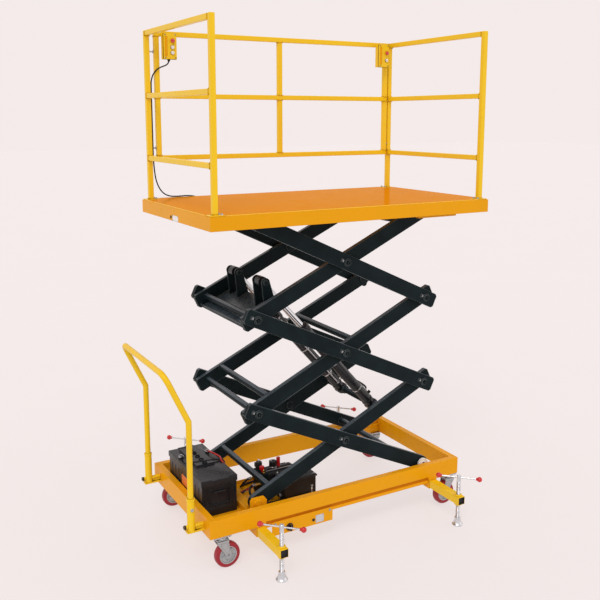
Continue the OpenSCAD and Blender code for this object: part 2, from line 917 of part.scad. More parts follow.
// Channel skirt, stiffening ribs, fixed pivot plates, roller channels and the cable gland
module deck_frame() {
    w = 40;
    ty = roller_y0 + roller_w;
    color(orange) {
        difference() {
            block(deck_x0, deck_x1, -deck_y, deck_y, frame_bottom, frame_top);
            block(deck_x0 + w, deck_x1 - w, -deck_y + w, deck_y - w, frame_bottom - 1, frame_top + 1);
            block(deck_x0 + sheet, deck_x1 - sheet, -deck_y + sheet, deck_y - sheet,
                frame_bottom + sheet, frame_top - sheet);
        }
        for (sx = [0, 1])
            both_sides()
                block(sx == 0 ? deck_x0 + w : deck_x1 - notch[0], sx == 0 ? deck_x0 + notch[0] : deck_x1 - w,
                    deck_y - notch[1] - 10, deck_y - w, frame_top - sheet, frame_top);
        both_sides() {
            block(deck_x0 + w, deck_x1 - w, 24, 30, frame_top - 36, frame_top);
            block(deck_x0 + w, deck_x1 - w, 440, 448, frame_top - 36, frame_top);
            block(pivot_x - 40, pivot_x + 40, outer_y + 4, outer_y + 16, top_z - 34, frame_top);
            y_rod(pivot_x, top_z, pin_r - 2, outer_y - arm_t - 3, outer_y + 20);
            block(track_x[0], track_x[1], ty + 2, ty + 10, top_z - 41, frame_top);
            block(track_x[0], track_x[1], roller_y0 - 1, ty + 10, top_z + roller_r - 4 + roller_gap, frame_top);
            block(track_x[0], track_x[1], roller_y0 - 1, ty + 10, top_z - 41, top_z - 41 + track_t);
        }
    }
    color(black)
        translate([gland[0], gland[1], gland[2] - 16]) {
            cylinder(r = 9, h = 16);
            block(-9, 9, deck_y - gland[1], 0, -0.5, 16);
        }
}

// ---------- guard rail ----------

// End panel: two posts with flanges and three rails; inward is the x side that faces the deck
module end_panel(x, inward) {
    h = rail_tube / 2;
    color(yellow) {
        both_sides() {
            tube_z(x, rail_y, frame_top + flange_t, rail_top);
            block(x - inward * 38, x + inward * 42, rail_y - 24, rail_y + 36, frame_top, frame_top + flange_t);
        }
        for (z = [rail_top - h, mid_z, low_z])
            tube_y(x, -rail_y + h, rail_y - h, z);
    }
}

module rail_left() {
    end_panel(rail_x0, 1);
}

module rail_right() {
    end_panel(rail_x1, -1);
}

// Back panel: its own frame, bolted between the end panels
module rail_back() {
    h = rail_tube / 2;
    xm = (back_x0 + back_x1) / 2;
    color(yellow) {
        for (z = [rail_top - h, mid_z, low_z])
            tube_x(back_x0 - h, back_x1 + h, rail_y, z);
        for (x = [back_x0, xm, back_x1]) {
            tube_z(x, rail_y, low_z + h, mid_z - h);
            tube_z(x, rail_y, mid_z + h, rail_top - 2 * h);
        }
    }
}

// Flange bolts and the bolts that join the back panel to the end panels
module rail_bolts() {
    color(steel) {
        for (x = [rail_x0 + 30, rail_x1 - 30])
            both_sides() {
                translate([x, rail_y + 24, frame_top + flange_t])
                    cylinder(r = 7, h = 6, $fn = 6);
                translate([x, rail_y - 12, frame_top + flange_t])
                    cylinder(r = 7, h = 6, $fn = 6);
            }
        for (z = [rail_top - 120, low_z + 60]) {
            translate([rail_x0 + 15, rail_y + 9, z])
                rotate([0, 90, 0])
                    cylinder(r = 4, h = back_x0 - rail_x0 - 30);
            translate([back_x1 + 15, rail_y, z])
                rotate([0, 90, 0])
                    cylinder(r = 5, h = rail_x1 - back_x1 - 30);
        }
    }
}

// ---------- controls ----------

module control_boxes() {
    w = 3;
    y1 = box_front + box_d;
    color(yellow)
        difference() {
            for (x = box_x)
                block(x, x + box_w, box_front, y1, box_z0, box_z0 + box_h);
            for (x = box_x)
                block(x + w, x + box_w - w, box_front + w, y1 - w, box_z0 + w, box_z0 + box_h - w);
            for (z = [stop_z, up_z, down_z])
                y_rod(button_x[0], z, stem_r + run_gap, box_front - 1, box_front + w + 1);
            for (z = [right_stop_z, right_up_z])
                y_rod(button_x[1], z, stem_r + run_gap, box_front - 1, box_front + w + 1);
        }
}

// Push button with a stem through the face of its box; a stop button has a wide head
module button(x, z, r, h, c) {
    color(c) {
        y_rod(x, z, stem_r, box_front - 6, box_front + 12);
        y_rod(x, z, r, box_front - 6 - h, box_front - 5.5);
        y_rod(x, z, stem_r + 3, box_front + 8, box_front + 12);
    }
}

// Ring of points around p, square to direction d, turned to face one fixed side
function ring(p, d, r) =
    let (
        t = d / norm(d),
        side = [0.35, -0.94, 0.02],
        u = (side - (side * t) * t) / norm(side - (side * t) * t),
        v = cross(t, u)
    ) [for (i = [0 : cable_sides - 1]) p + r * (cos(360 * i / cable_sides) * u + sin(360 * i / cable_sides) * v)];

// Cable from the left control box to the gland, swept along its route
module control_cable() {
    n = len(CABLE);
    m = cable_sides;
    rings = [for (i = [0 : n - 1])
        each ring(CABLE[i], CABLE[min(i + 1, n - 1)] - CABLE[max(i - 1, 0)], cable_r)];
    sides = [for (i = [0 : n - 2], j = [0 : m - 1])
        [i * m + j, i * m + (j + 1) % m, (i + 1) * m + (j + 1) % m, (i + 1) * m + j]];
    start = [[for (j = [0 : m - 1]) m - 1 - j]];
    stop = [[for (j = [0 : m - 1]) (n - 1) * m + j]];
    color(black)
        polyhedron(points = rings, faces = concat(sides, start, stop));
}

base_side_beams();
base_cross_members();
roller_tracks();
pivot_brackets();
outrigger_sleeves();
switch_panel();
power_switch();
handle_sockets();
push_handle();
battery_box();
battery_lid();
hydraulic_tank();
pump_motor();
valve_block();
lowering_knob();
castor_plates();
for (c = CORNERS) {
    castor_fork(c);
    castor_wheel(c);
    outrigger_arm(c);
    jack_foot(c);
    jack_screw(c);
}
inner_arms_1();
outer_arms_1();
inner_arms_2();
outer_arms_2();
inner_arms_3();
outer_arms_3();
lower_rollers();
upper_rollers();
cylinder_barrels();
cylinder_rods();
deck_plate();
deck_frame();
rail_left();
rail_back();
rail_right();
rail_bolts();
control_boxes();
button(button_x[0], stop_z, 13, 9, red);  // stop_button_left
button(button_x[0], up_z, 10, 4, white);  // up_button_left
button(button_x[0], down_z, 10, 4, white);  // down_button_left
button(button_x[1], right_stop_z, 13, 9, red);  // stop_button_right
button(button_x[1], right_up_z, 10, 4, white);  // up_button_right
control_cable();
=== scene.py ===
import json
import math
import bpy
import bmesh
from mathutils import Vector, Matrix


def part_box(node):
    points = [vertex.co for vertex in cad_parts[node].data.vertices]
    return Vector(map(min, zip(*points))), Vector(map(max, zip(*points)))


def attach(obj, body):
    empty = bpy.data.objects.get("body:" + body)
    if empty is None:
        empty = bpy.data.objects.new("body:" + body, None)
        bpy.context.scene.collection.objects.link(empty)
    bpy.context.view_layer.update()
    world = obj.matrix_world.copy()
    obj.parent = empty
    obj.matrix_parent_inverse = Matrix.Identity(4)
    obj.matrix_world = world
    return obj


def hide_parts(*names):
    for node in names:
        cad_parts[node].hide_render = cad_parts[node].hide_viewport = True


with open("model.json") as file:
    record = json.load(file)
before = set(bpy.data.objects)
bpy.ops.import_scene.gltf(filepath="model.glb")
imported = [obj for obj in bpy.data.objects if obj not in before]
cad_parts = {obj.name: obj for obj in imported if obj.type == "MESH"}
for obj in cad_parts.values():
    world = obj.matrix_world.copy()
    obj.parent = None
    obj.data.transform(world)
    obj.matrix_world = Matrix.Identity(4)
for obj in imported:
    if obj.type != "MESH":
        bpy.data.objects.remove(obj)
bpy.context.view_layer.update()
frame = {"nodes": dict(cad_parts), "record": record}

NODES = frame["nodes"]
BODY = {n: b for b, ns in frame["record"]["behaviour"]["bodies"].items() for n in ns}
SLOT = {s["node"]: s["material_slot"] for s in frame["record"]["subparts"]}
CORNERS = (("front_left", -1, -1), ("front_right", 1, -1), ("rear_left", -1, 1), ("rear_right", 1, 1))


# ---------------------------------------- camera, floor, light
def make_camera():
    data = bpy.data.cameras.new("camera")
    data.sensor_width = 36
    data.lens = 48.48
    data.shift_y = -0.07
    data.dof.use_dof = False
    cam = bpy.data.objects.new("camera", data)
    cam.location = (-2.4208, -4.2698, 2.4908)
    cam.rotation_euler = (math.pi / 2 - 0.1719, 0, -0.5164)
    bpy.context.scene.collection.objects.link(cam)
    bpy.context.scene.camera = cam


def make_lights():
    """Even studio light: a pale surround, one broad soft key from the front left and one weak fill."""
    world = bpy.data.worlds.new("studio")
    world.use_nodes = True
    world.node_tree.nodes["Background"].inputs[0].default_value = (0.905, 0.830, 0.822, 1)
    bpy.context.scene.world = world
    for name, direction, strength, spread in (("key", (0.55, 0.62, -1.0), 0.92, 25),
                                              ("fill", (-0.9, 0.5, -0.35), 0.18, 40)):
        data = bpy.data.lights.new(name, "SUN")
        data.energy = strength
        data.angle = math.radians(spread)
        data.color = (1.0, 0.93, 0.925)
        lamp = bpy.data.objects.new(name, data)
        lamp.rotation_euler = Vector(direction).to_track_quat("-Z", "Y").to_euler()
        bpy.context.scene.collection.objects.link(lamp)


bpy.context.scene.view_settings.view_transform = "Standard"
make_camera()
make_lights()


# ---------------------------------------- mesh helpers
def catmull(points, steps):
    pts = [Vector(p) for p in points]
    ends = [2 * pts[0] - pts[1]] + pts + [2 * pts[-1] - pts[-2]]
    out = []
    for a, b, c, d in zip(ends, ends[1:], ends[2:], ends[3:]):
        for k in range(steps):
            t = k / steps
            out.append(0.5 * (2 * b + (c - a) * t + (2 * a - 5 * b + 4 * c - d) * t * t
                              + (3 * b - a - 3 * c + d) * t ** 3))
    return out + [pts[-1]]


def basis(axis):
    a = Vector(axis).normalized()
    u = a.orthogonal().normalized()
    return u, a.cross(u), a


def skin(bm, rings, mat, loop=False, caps=True):
    """Faces between rings of vertices; a ring of one vertex is a tip."""
    pairs = list(zip(rings, rings[1:])) + ([(rings[-1], rings[0])] if loop else [])
    for p, q in pairs:
        n = max(len(p), len(q))
        for i in range(n):
            j = (i + 1) % n
            if len(p) == 1:
                vs = [p[0], q[j], q[i]]
            elif len(q) == 1:
                vs = [p[i], p[j], q[0]]
            else:
                vs = [p[i], p[j], q[j], q[i]]
            bm.faces.new(vs).material_index = mat
    if caps and not loop:
        for ring in (rings[0], rings[-1]):
            if len(ring) > 2:
                bm.faces.new(ring).material_index = mat


def lathe(bm, profile, origin, axis=(0, 0, 1), segs=32, mat=0, loop=False, turn=0.0):
    """Turned shape; profile holds (radius, distance along the axis)."""
    u, v, a = basis(axis)
    rings = []
    for r, t in profile:
        c = Vector(origin) + a * t
        if r < 1e-6:
            rings.append([bm.verts.new(c)])
        else:
            angles = [turn + math.tau * i / segs for i in range(segs)]
            rings.append([bm.verts.new(c + (u * math.cos(g) + v * math.sin(g)) * r) for g in angles])
    skin(bm, rings, mat, loop)


def tube(bm, points, radius, segs=12, mat=0, closed=False):
    """Round tube along points; radius is a number or one number a point."""
    pts = [Vector(p) for p in points]
    n = len(pts)
    side = None
    rings = []
    for i, p in enumerate(pts):
        before = pts[i - 1] if (i or closed) else p
        after = pts[(i + 1) % n] if (i < n - 1 or closed) else p
        t = (after - before).normalized()
        side = t.orthogonal().normalized() if side is None else (side - t * side.dot(t)).normalized()
        other = t.cross(side)
        r = radius[i] if isinstance(radius, (list, tuple)) else radius
        angles = [math.tau * k / segs for k in range(segs)]
        rings.append([bm.verts.new(p + (side * math.cos(g) + other * math.sin(g)) * r) for g in angles])
    skin(bm, rings, mat, closed)


def cuboid(bm, lo, hi, mat=0, matrix=None):
    vs = [bm.verts.new(Vector((x, y, z))) for x in (lo[0], hi[0]) for y in (lo[1], hi[1]) for z in (lo[2], hi[2])]
    for f in ((0, 1, 3, 2), (4, 6, 7, 5), (0, 4, 5, 1), (2, 3, 7, 6), (0, 2, 6, 4), (1, 5, 7, 3)):
        bm.faces.new([vs[i] for i in f]).material_index = mat
    if matrix is not None:
        bmesh.ops.transform(bm, matrix=matrix, verts=vs)


def hex_bolt(bm, origin, axis, r=0.009, h=0.006, mat=0, washer=True, turn=0.3):
    """Hexagon head on a washer, standing along the axis from the origin."""
    base = 0.0
    if washer:
        lathe(bm, [(r * 0.5, 0), (r * 1.35, 0), (r * 1.35, 0.0015), (r * 0.5, 0.0015)], origin, axis, 24, mat)
        base = 0.0012
    lathe(bm, [(r, base), (r, base + h * 0.8), (r * 0.86, base + h), (0, base + h * 1.02)], origin, axis, 6, mat,
          turn=turn)


def ball(bm, centre, r, mat=0, segs=24, rows=14):
    lathe(bm, [(r * math.sin(math.pi * k / rows), -r * math.cos(math.pi * k / rows)) for k in range(rows + 1)],
          centre, (0, 0, 1), segs, mat)


def piece(name, bm, mats, body, bevel=0.0, segments=2, smooth=35, edge_mat=-1, replaces=()):
    """Turns a bmesh into a piece that rides on a body."""
    bmesh.ops.recalc_face_normals(bm, faces=bm.faces)
    mesh = bpy.data.meshes.new(name)
    bm.to_mesh(mesh)
    bm.free()
    for m in mats:
        mesh.materials.append(m)
    mesh.shade_smooth()
    mesh.set_sharp_from_angle(angle=math.radians(smooth))
    obj = bpy.data.objects.new(name, mesh)
    bpy.context.scene.collection.objects.link(obj)
    if bevel:
        mod = obj.modifiers.new("edges", "BEVEL")
        mod.width = bevel
        mod.segments = segments
        mod.limit_method = "ANGLE"
        mod.angle_limit = math.radians(32)
        mod.harden_normals = True
        mod.use_clamp_overlap = False
        mod.material = edge_mat
    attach(obj, body)
    if replaces:
        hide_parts(*replaces)
    return obj


def cad_mesh(node):
    """The node's mesh with its vertices joined and its flat faces merged."""
    bm = bmesh.new()
    bm.from_mesh(NODES[node].data)
    bmesh.ops.remove_doubles(bm, verts=bm.verts, dist=2e-6)
    bmesh.ops.dissolve_limit(bm, angle_limit=math.radians(0.4), verts=bm.verts, edges=bm.edges)
    for f in bm.faces:
        f.material_index = 0
    return bm


def finish_copy(node, mats, bevel=0.0015, segments=2, rule=None, edge_mat=-1, smooth=35, extra=None, sheen_tops=None,
                highlight_sides=None):
    """The CAD node with worked edges.

    rule gives a face's material from its centre, sheen_tops and highlight_sides are the materials of
    faces that look up or sideways, used for painted sheen and painted highlight, and extra adds detail.
    """
    bm = cad_mesh(node)
    bm.normal_update()
    for f in bm.faces:
        if sheen_tops is not None and f.normal.z > 0.6:
            f.material_index = sheen_tops
        if highlight_sides is not None and abs(f.normal.z) < 0.5:
            f.material_index = highlight_sides
    if rule:
        for f in bm.faces:
            f.material_index = rule(f.calc_center_median())
    if extra:
        extra(bm)
    return piece(node + "_made", bm, mats, BODY[node], bevel, segments, smooth, edge_mat, (node,))


# ---------------------------------------- materials
def material(name, base, rough=0.4, metal=0.0, coat=0.0, spread=0.06, scale=5.0, bump=0.05, grain=260.0,
             dust_and_sheen=0.0, dust_and_sheen_colour=(0.55, 0.5, 0.45), stretch=(1, 1, 1), spec=0.5, rough_spread=0.08):
    """Painted, plated or moulded surface: cloudy colour, uneven gloss, fine grain and a little dust; on the arm tops
    and arm edges the same patches are painted sheen.
    """
    m = bpy.data.materials.new(name)
    m.use_nodes = True
    nt = m.node_tree
    nodes, links = nt.nodes, nt.links
    shader = nodes["Principled BSDF"]
    where = nodes.new("ShaderNodeTexCoord")
    place = nodes.new("ShaderNodeMapping")
    place.inputs["Scale"].default_value = stretch
    links.new(where.outputs["Object"], place.inputs["Vector"])

    def noise(size, detail, rough_=0.55):
        n = nodes.new("ShaderNodeTexNoise")
        n.inputs["Scale"].default_value = size
        n.inputs["Detail"].default_value = detail
        n.inputs["Roughness"].default_value = rough_
        links.new(place.outputs["Vector"], n.inputs["Vector"])
        return n.outputs["Fac"]

    def spread_map(fac, low, high, a=0.35, b=0.65):
        r = nodes.new("ShaderNodeMapRange")
        for key, value in (("From Min", a), ("From Max", b), ("To Min", low), ("To Max", high)):
            r.inputs[key].default_value = value
        links.new(fac, r.inputs["Value"])
        return r.outputs["Result"]

    def blend(fac, a, b):
        mix = nodes.new("ShaderNodeMix")
        mix.data_type = "RGBA"
        links.new(fac, mix.inputs["Factor"])
        for socket, value in ((mix.inputs[6], a), (mix.inputs[7], b)):
            if isinstance(value, tuple):
                socket.default_value = (*value, 1)
            else:
                links.new(value, socket)
        return mix.outputs[2]

    dark = tuple(c * (1 - spread) for c in base)
    light = tuple(min(1, c * (1 + spread)) for c in base)
    colour = blend(spread_map(noise(scale, 4), 0, 1), dark, light)
    # patches of dust; on the arm tops and arm edges these patches are painted sheen
    if dust_and_sheen:
        colour = blend(spread_map(noise(scale * 2.7, 6, 0.7), 0, dust_and_sheen, 0.5, 0.75), colour, dust_and_sheen_colour)
    links.new(colour, shader.inputs["Base Color"])
    links.new(spread_map(noise(scale * 4, 5, 0.65), rough - rough_spread, rough + rough_spread),
              shader.inputs["Roughness"])
    shader.inputs["Metallic"].default_value = metal
    shader.inputs["Coat Weight"].default_value = coat
    shader.inputs["Coat Roughness"].default_value = 0.12
    shader.inputs["Specular IOR Level"].default_value = spec
    if bump:
        b = nodes.new("ShaderNodeBump")
        b.inputs["Strength"].default_value = bump
        b.inputs["Distance"].default_value = 0.0006
        links.new(noise(grain, 2), b.inputs["Height"])
        links.new(b.outputs["Normal"], shader.inputs["Normal"])
    return m


YELLOW = material("rail_yellow", (0.83, 0.545, 0.010), 0.32, coat=0.08, spread=0.02, scale=2.5, bump=0.05,
                  grain=420, spec=0.22)
YELLOW_WELD = material("weld_yellow", (0.74, 0.43, 0.006), 0.4, spec=0.2, spread=0.06, bump=0.4, grain=300)
ORANGE = material("deck_orange", (0.77, 0.345, 0.004), 0.30, coat=0.04, spread=0.02, scale=2.5, bump=0.05,
                  grain=380, spec=0.08)
# deeper orange painted on the side beams' recessed groove face as shade
GROOVE_SHADE = material("groove_painted_shade", (0.58, 0.185, 0.003), 0.5, spread=0.05, scale=4, bump=0.05, grain=300, spec=0.05)
# lighter orange painted on the deck plate's sides and worked edges as a highlight
HIGHLIGHT_ORANGE = material("edge_painted_highlight", (0.86, 0.50, 0.030), 0.34, spread=0.03, scale=6, bump=0.04, grain=380, spec=0.2)
PLATE = material("plate_orange", (0.76, 0.305, 0.003), 0.17, metal=0.45, spread=0.02, scale=2, bump=0.03, grain=150,
                 spec=0.0,
                 rough_spread=0.04)
PLATE.node_tree.nodes["Principled BSDF"].inputs["Specular Tint"].default_value = (0.85, 0.40, 0.02, 1)
DARK = material("arm_dark", (0.007, 0.0135, 0.0155), 0.40, spread=0.18, scale=9, bump=0.2, grain=180, dust_and_sheen=0.03,
                dust_and_sheen_colour=(0.04, 0.05, 0.052), spec=0.07)
# worn paint on the arms' worked edges and pin rings, lightened further as a painted highlight
EDGE_WEAR_HIGHLIGHT = material("arm_edge_wear_and_highlight", (0.035, 0.048, 0.05), 0.34, spread=0.35, scale=30, bump=0.2, grain=200, dust_and_sheen=0.35,
                dust_and_sheen_colour=(0.11, 0.13, 0.13), spec=0.4)
# lighter blue-grey painted on the arms' upward faces, with bluer patches, as sheen
ARM_TOP_SHEEN = material("arm_top", (0.040, 0.060, 0.075), 0.30, spread=0.2, scale=9, bump=0.1, grain=180, dust_and_sheen=0.2,
                   dust_and_sheen_colour=(0.11, 0.145, 0.17), spec=0.35)
CASE = material("battery_case", (0.012, 0.013, 0.016), 0.30, coat=0.06, spread=0.15, bump=0.12, grain=300,
                dust_and_sheen=0.03, dust_and_sheen_colour=(0.05, 0.055, 0.06), spec=0.25)
LABEL = material("label_orange", (0.70, 0.16, 0.02), 0.4, spread=0.1, bump=0.02)
BLACK = material("black_paint", (0.009, 0.010, 0.012), 0.34, coat=0.1, spread=0.2, bump=0.1, dust_and_sheen=0.04,
                 dust_and_sheen_colour=(0.08, 0.075, 0.07), spec=0.3)
PLASTIC = material("black_plastic", (0.012, 0.012, 0.014), 0.46, spread=0.15, bump=0.2, grain=520, dust_and_sheen=0.06,
                   dust_and_sheen_colour=(0.08, 0.075, 0.07), spec=0.3)
CHROME = material("rod_chrome", (0.74, 0.75, 0.77), 0.12, metal=1, spread=0.03, bump=0.02, rough_spread=0.04)
ZINC = material("zinc", (0.50, 0.51, 0.53), 0.36, metal=1, spread=0.12, scale=22, bump=0.15, grain=260,
                rough_spread=0.1)
GREY = material("fork_grey", (0.42, 0.43, 0.44), 0.42, metal=0.6, spread=0.08, scale=18, bump=0.12, dust_and_sheen=0.08)
TREAD = material("red_tread", (0.30, 0.014, 0.024), 0.34, spread=0.1, scale=14, bump=0.1, grain=300, dust_and_sheen=0.08,
                 dust_and_sheen_colour=(0.34, 0.2, 0.18), spec=0.35)
RIM = material("rim_grey", (0.40, 0.42, 0.43), 0.42, metal=0.4, spread=0.08, scale=20, bump=0.12)
RED = material("red_plastic", (0.55, 0.006, 0.008), 0.22, coat=0.4, spread=0.05, bump=0.03)
WHITE = material("white_plastic", (0.80, 0.79, 0.76), 0.3, coat=0.2, spread=0.03, bump=0.03)
NYLON = material("roller_nylon", (0.70, 0.68, 0.63), 0.42, spread=0.06, scale=20, bump=0.08)
CABLE = material("cable_sheath", (0.012, 0.012, 0.014), 0.5, spread=0.15, scale=40, bump=0.1, grain=700, spec=0.3)
HOSE = material("hose_rubber", (0.010, 0.010, 0.011), 0.48, spread=0.2, scale=60, bump=0.5, grain=900, spec=0.3)
BRASS = material("brass", (0.70, 0.44, 0.12), 0.25, metal=1, spread=0.1, scale=40, bump=0.06)
SILVER = material("bright_steel", (0.66, 0.68, 0.70), 0.26, metal=1, spread=0.08, scale=30, bump=0.1)
LEAD = material("red_lead", (0.42, 0.008, 0.008), 0.42, spread=0.1, scale=50, bump=0.1)
GROUND = material("floor", (0.22, 0.22, 0.22), 0.9, spread=0.012, scale=1.2, bump=0.05, grain=40, spec=0.02)
glow = GROUND.node_tree.nodes["Principled BSDF"].inputs
glow["Emission Color"].default_value = (0.652, 0.597, 0.591, 1)
glow["Emission Strength"].default_value = 1.0

BY_SLOT = {
    "orange_paint": ORANGE, "yellow_paint": YELLOW, "dark_paint": DARK, "black_paint": BLACK,
    "black_plastic": PLASTIC, "chrome_rod": CHROME, "zinc_steel": ZINC, "red_tyre": TREAD,
    "red_plastic": RED, "white_plastic": WHITE, "cable_sheath": CABLE,
}
for node, obj in NODES.items():
    obj.data.materials.clear()
    obj.data.materials.append(BY_SLOT[SLOT[node]])


# ---------------------------------------- control cable
# centre of the cable from the left control box to the gland under the deck, in millimetres
ROUTE = [
    (-650, 440, 2835), (-650.3, 440, 2826), (-652.2, 440.8, 2818.6), (-656.4, 442.4, 2810.5), (-662.7, 444.7, 2803.8),
    (-671, 447.2, 2799), (-687.5, 450.8, 2792.5), (-704.3, 455.2, 2784.5), (-720.3, 460.5, 2773), (-733.4, 466, 2757.5),
    (-743.2, 471.3, 2739), (-749.3, 475.4, 2716), (-751.8, 478, 2690), (-752, 479, 2600),
    (-752, 479, 2500), (-752, 479, 2400), (-752, 479, 2300), (-751, 479, 2240), (-747, 480, 2180),
    (-738, 484, 2122), (-722, 489, 2078), (-700, 495, 2044), (-671, 501, 2021), (-636, 507, 2009),
    (-598, 514, 2005.5), (-560, 522, 2005), (-524, 530, 2005), (-490, 535, 2002), (-460, 538, 1996),
    (-434, 539, 1986.5), (-411, 538.4, 1972), (-391.5, 537, 1957), (-382.8, 536.2, 1947), (-378.8, 535.2, 1937),
    (-378, 535, 1926)
]


def make_cable():
    points = catmull([Vector(p) / 1000 for p in ROUTE], 5)
    curve = bpy.data.curves.new("cable", "CURVE")
    curve.dimensions = "3D"
    curve.bevel_depth = 0.004
    curve.bevel_resolution = 4
    spline = curve.splines.new("POLY")
    spline.points.add(len(points) - 1)
    for p, v in zip(spline.points, points):
        p.co = (*v, 1)
    curve.materials.append(CABLE)
    obj = bpy.data.objects.new("cable", curve)
    bpy.context.scene.collection.objects.link(obj)
    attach(obj, "deck")
    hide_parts("control_cable")


make_cable()


# ---------------------------------------- stage
def make_stage():
    bm = bmesh.new()
    r = 60
    vs = [bm.verts.new((x * r, y * r, 0)) for x, y in ((-1, -1), (1, -1), (1, 1), (-1, 1))]
    bm.faces.new(vs)
    mesh = bpy.data.meshes.new("floor")
    bm.to_mesh(mesh)
    bm.free()
    mesh.materials.append(GROUND)
    floor = bpy.data.objects.new("floor", mesh)
    bpy.context.scene.collection.objects.link(floor)


make_stage()


# ---------------------------------------- castors
def make_castor(name, side):
    lo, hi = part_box("castor_wheel_" + name)
    c = (lo + hi) / 2
    r = (hi.z - lo.z) / 2
    half = 0.020
    bm = bmesh.new()
    lathe(bm, [(0.052, -half), (r - 0.007, -half), (r - 0.0030, -half + 0.0025), (r - 0.0007, -half + 0.008),
               (r - 0.0007, half - 0.008),
               (r - 0.0030, half - 0.0025), (r - 0.007, half), (0.052, half)], c, (0, 1, 0), 72, 0, loop=True)
    for y in (-0.009, 0.009):
        lathe(bm, [(r - 0.0016, y - 0.0014), (r - 0.0001, y - 0.0008), (r - 0.0001, y + 0.0008),
                   (r - 0.0016, y + 0.0014)],
              c, (0, 1, 0), 72, 0, loop=True)
    for s in (-1, 1):
        lathe(bm, [(0.0525, s * 0.0195), (0.050, s * 0.0205), (0.0465, s * 0.0195), (0.044, s * 0.012),
                   (0.030, s * 0.009),
                   (0.024, s * 0.011), (0.022, s * 0.021), (0.013, s * 0.022), (0.012, s * 0.0205),
                   (0.0085, s * 0.0205),
                   (0.0085, s * 0.004), (0.0525, s * 0.004)], c, (0, 1, 0), 72, 1, loop=True)
        for k in range(5):
            g = math.tau * k / 5 + 0.3
            rib = Matrix.Translation(c) @ Matrix.Rotation(g, 4, "Y")
            y0, y1 = sorted((s * 0.006, s * 0.0155))
            cuboid(bm, (0.021, y0, -0.003), (0.046, y1, 0.003), 1, rib)
    piece("wheel_made_" + name, bm, [TREAD, RIM], "wheel_" + name, 0.0006, 1, 40,
          replaces=("castor_wheel_" + name,))

    bm = bmesh.new()
    px = c.x + side * 0.034
    py = c.y
    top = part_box("castor_fork_" + name)[1].z
    lathe(bm, [(0, top - 0.0125), (0.027, top - 0.0125), (0.032, top - 0.010), (0.033, top - 0.006),
               (0.030, top - 0.0035),
               (0.030, top), (0, top)], (px, py, 0), segs=48, mat=0)
    lathe(bm, [(0, top - 0.028), (0.008, top - 0.028), (0.010, top - 0.026), (0.010, top - 0.0195), (0, top - 0.0195)],
          (px, py, 0), segs=6, mat=1)
    axle = Vector((-side * 0.034, 0, 0.075))
    x0, x1 = (-0.034, 0.038) if side < 0 else (-0.038, 0.034)
    cuboid(bm, (px + x0, py - 0.028, top - 0.020), (px + x1, py + 0.028, top - 0.0125))
    for s in (-1, 1):
        arc = [(axle.x + 0.018 * math.cos(g), axle.z + 0.018 * math.sin(g))
               for g in [math.radians(a) for a in range(200, 350, 15)]]
        outline = [(x0, top - 0.014), (x0 + 0.002, top - 0.034), (axle.x - 0.0178, axle.z + 0.006)] + arc
        outline += [(axle.x + 0.0178, axle.z + 0.006), (x1 - 0.002, top - 0.034), (x1, top - 0.014)]
        y0, y1 = py + s * 0.0235, py + s * 0.028
        a = [bm.verts.new((px + x, y0, z)) for x, z in outline]
        b = [bm.verts.new((px + x, y1, z)) for x, z in outline]
        skin(bm, [a, b], 0)
        inset = 0.62
        mx, mz = px + (x0 + x1) / 2 * 0.4 + axle.x * 0.6, (top - 0.02) * 0.5 + axle.z * 0.5
        rim = [(mx + (px + x - mx) * inset, mz + (z - mz) * inset) for x, z in outline]
        tube(bm, [(x, y1, z) for x, z in rim], 0.0013, 6, 0, closed=True)
        hex_bolt(bm, (px + axle.x, y1, axle.z), (0, s, 0), 0.0095, 0.0062, 1)
        lathe(bm, [(0.0045, 0), (0.0045, 0.0125), (0.0035, 0.0138), (0, 0.0138)], (px + axle.x, y1, axle.z),
              (0, s, 0), 16, 1)
    tube(bm, [(px + axle.x, py - 0.0236, axle.z), (px + axle.x, py + 0.0236, axle.z)], 0.0079, 20, 1)
    piece("fork_made_" + name, bm, [GREY, ZINC], "castor_" + name, 0.0012, 2, 35,
          replaces=("castor_fork_" + name,))


def made_castors():
    for name, side, _ in CORNERS:
        make_castor(name, side)

    def bolts(bm):
        for name, side, row in CORNERS:
            wlo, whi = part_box("castor_wheel_" + name)
            cx, cy = (wlo.x + whi.x) / 2 + side * 0.034, (wlo.y + whi.y) / 2
            for dx in (-0.044, 0.044):
                for dy in (-0.036, 0.018):
                    hex_bolt(bm, (cx + dx, cy + row * dy, 0.190), (0, 0, -1), 0.006, 0.005, 0)
    finish_copy("castor_plates", [ZINC], 0.0012, 2, extra=bolts)


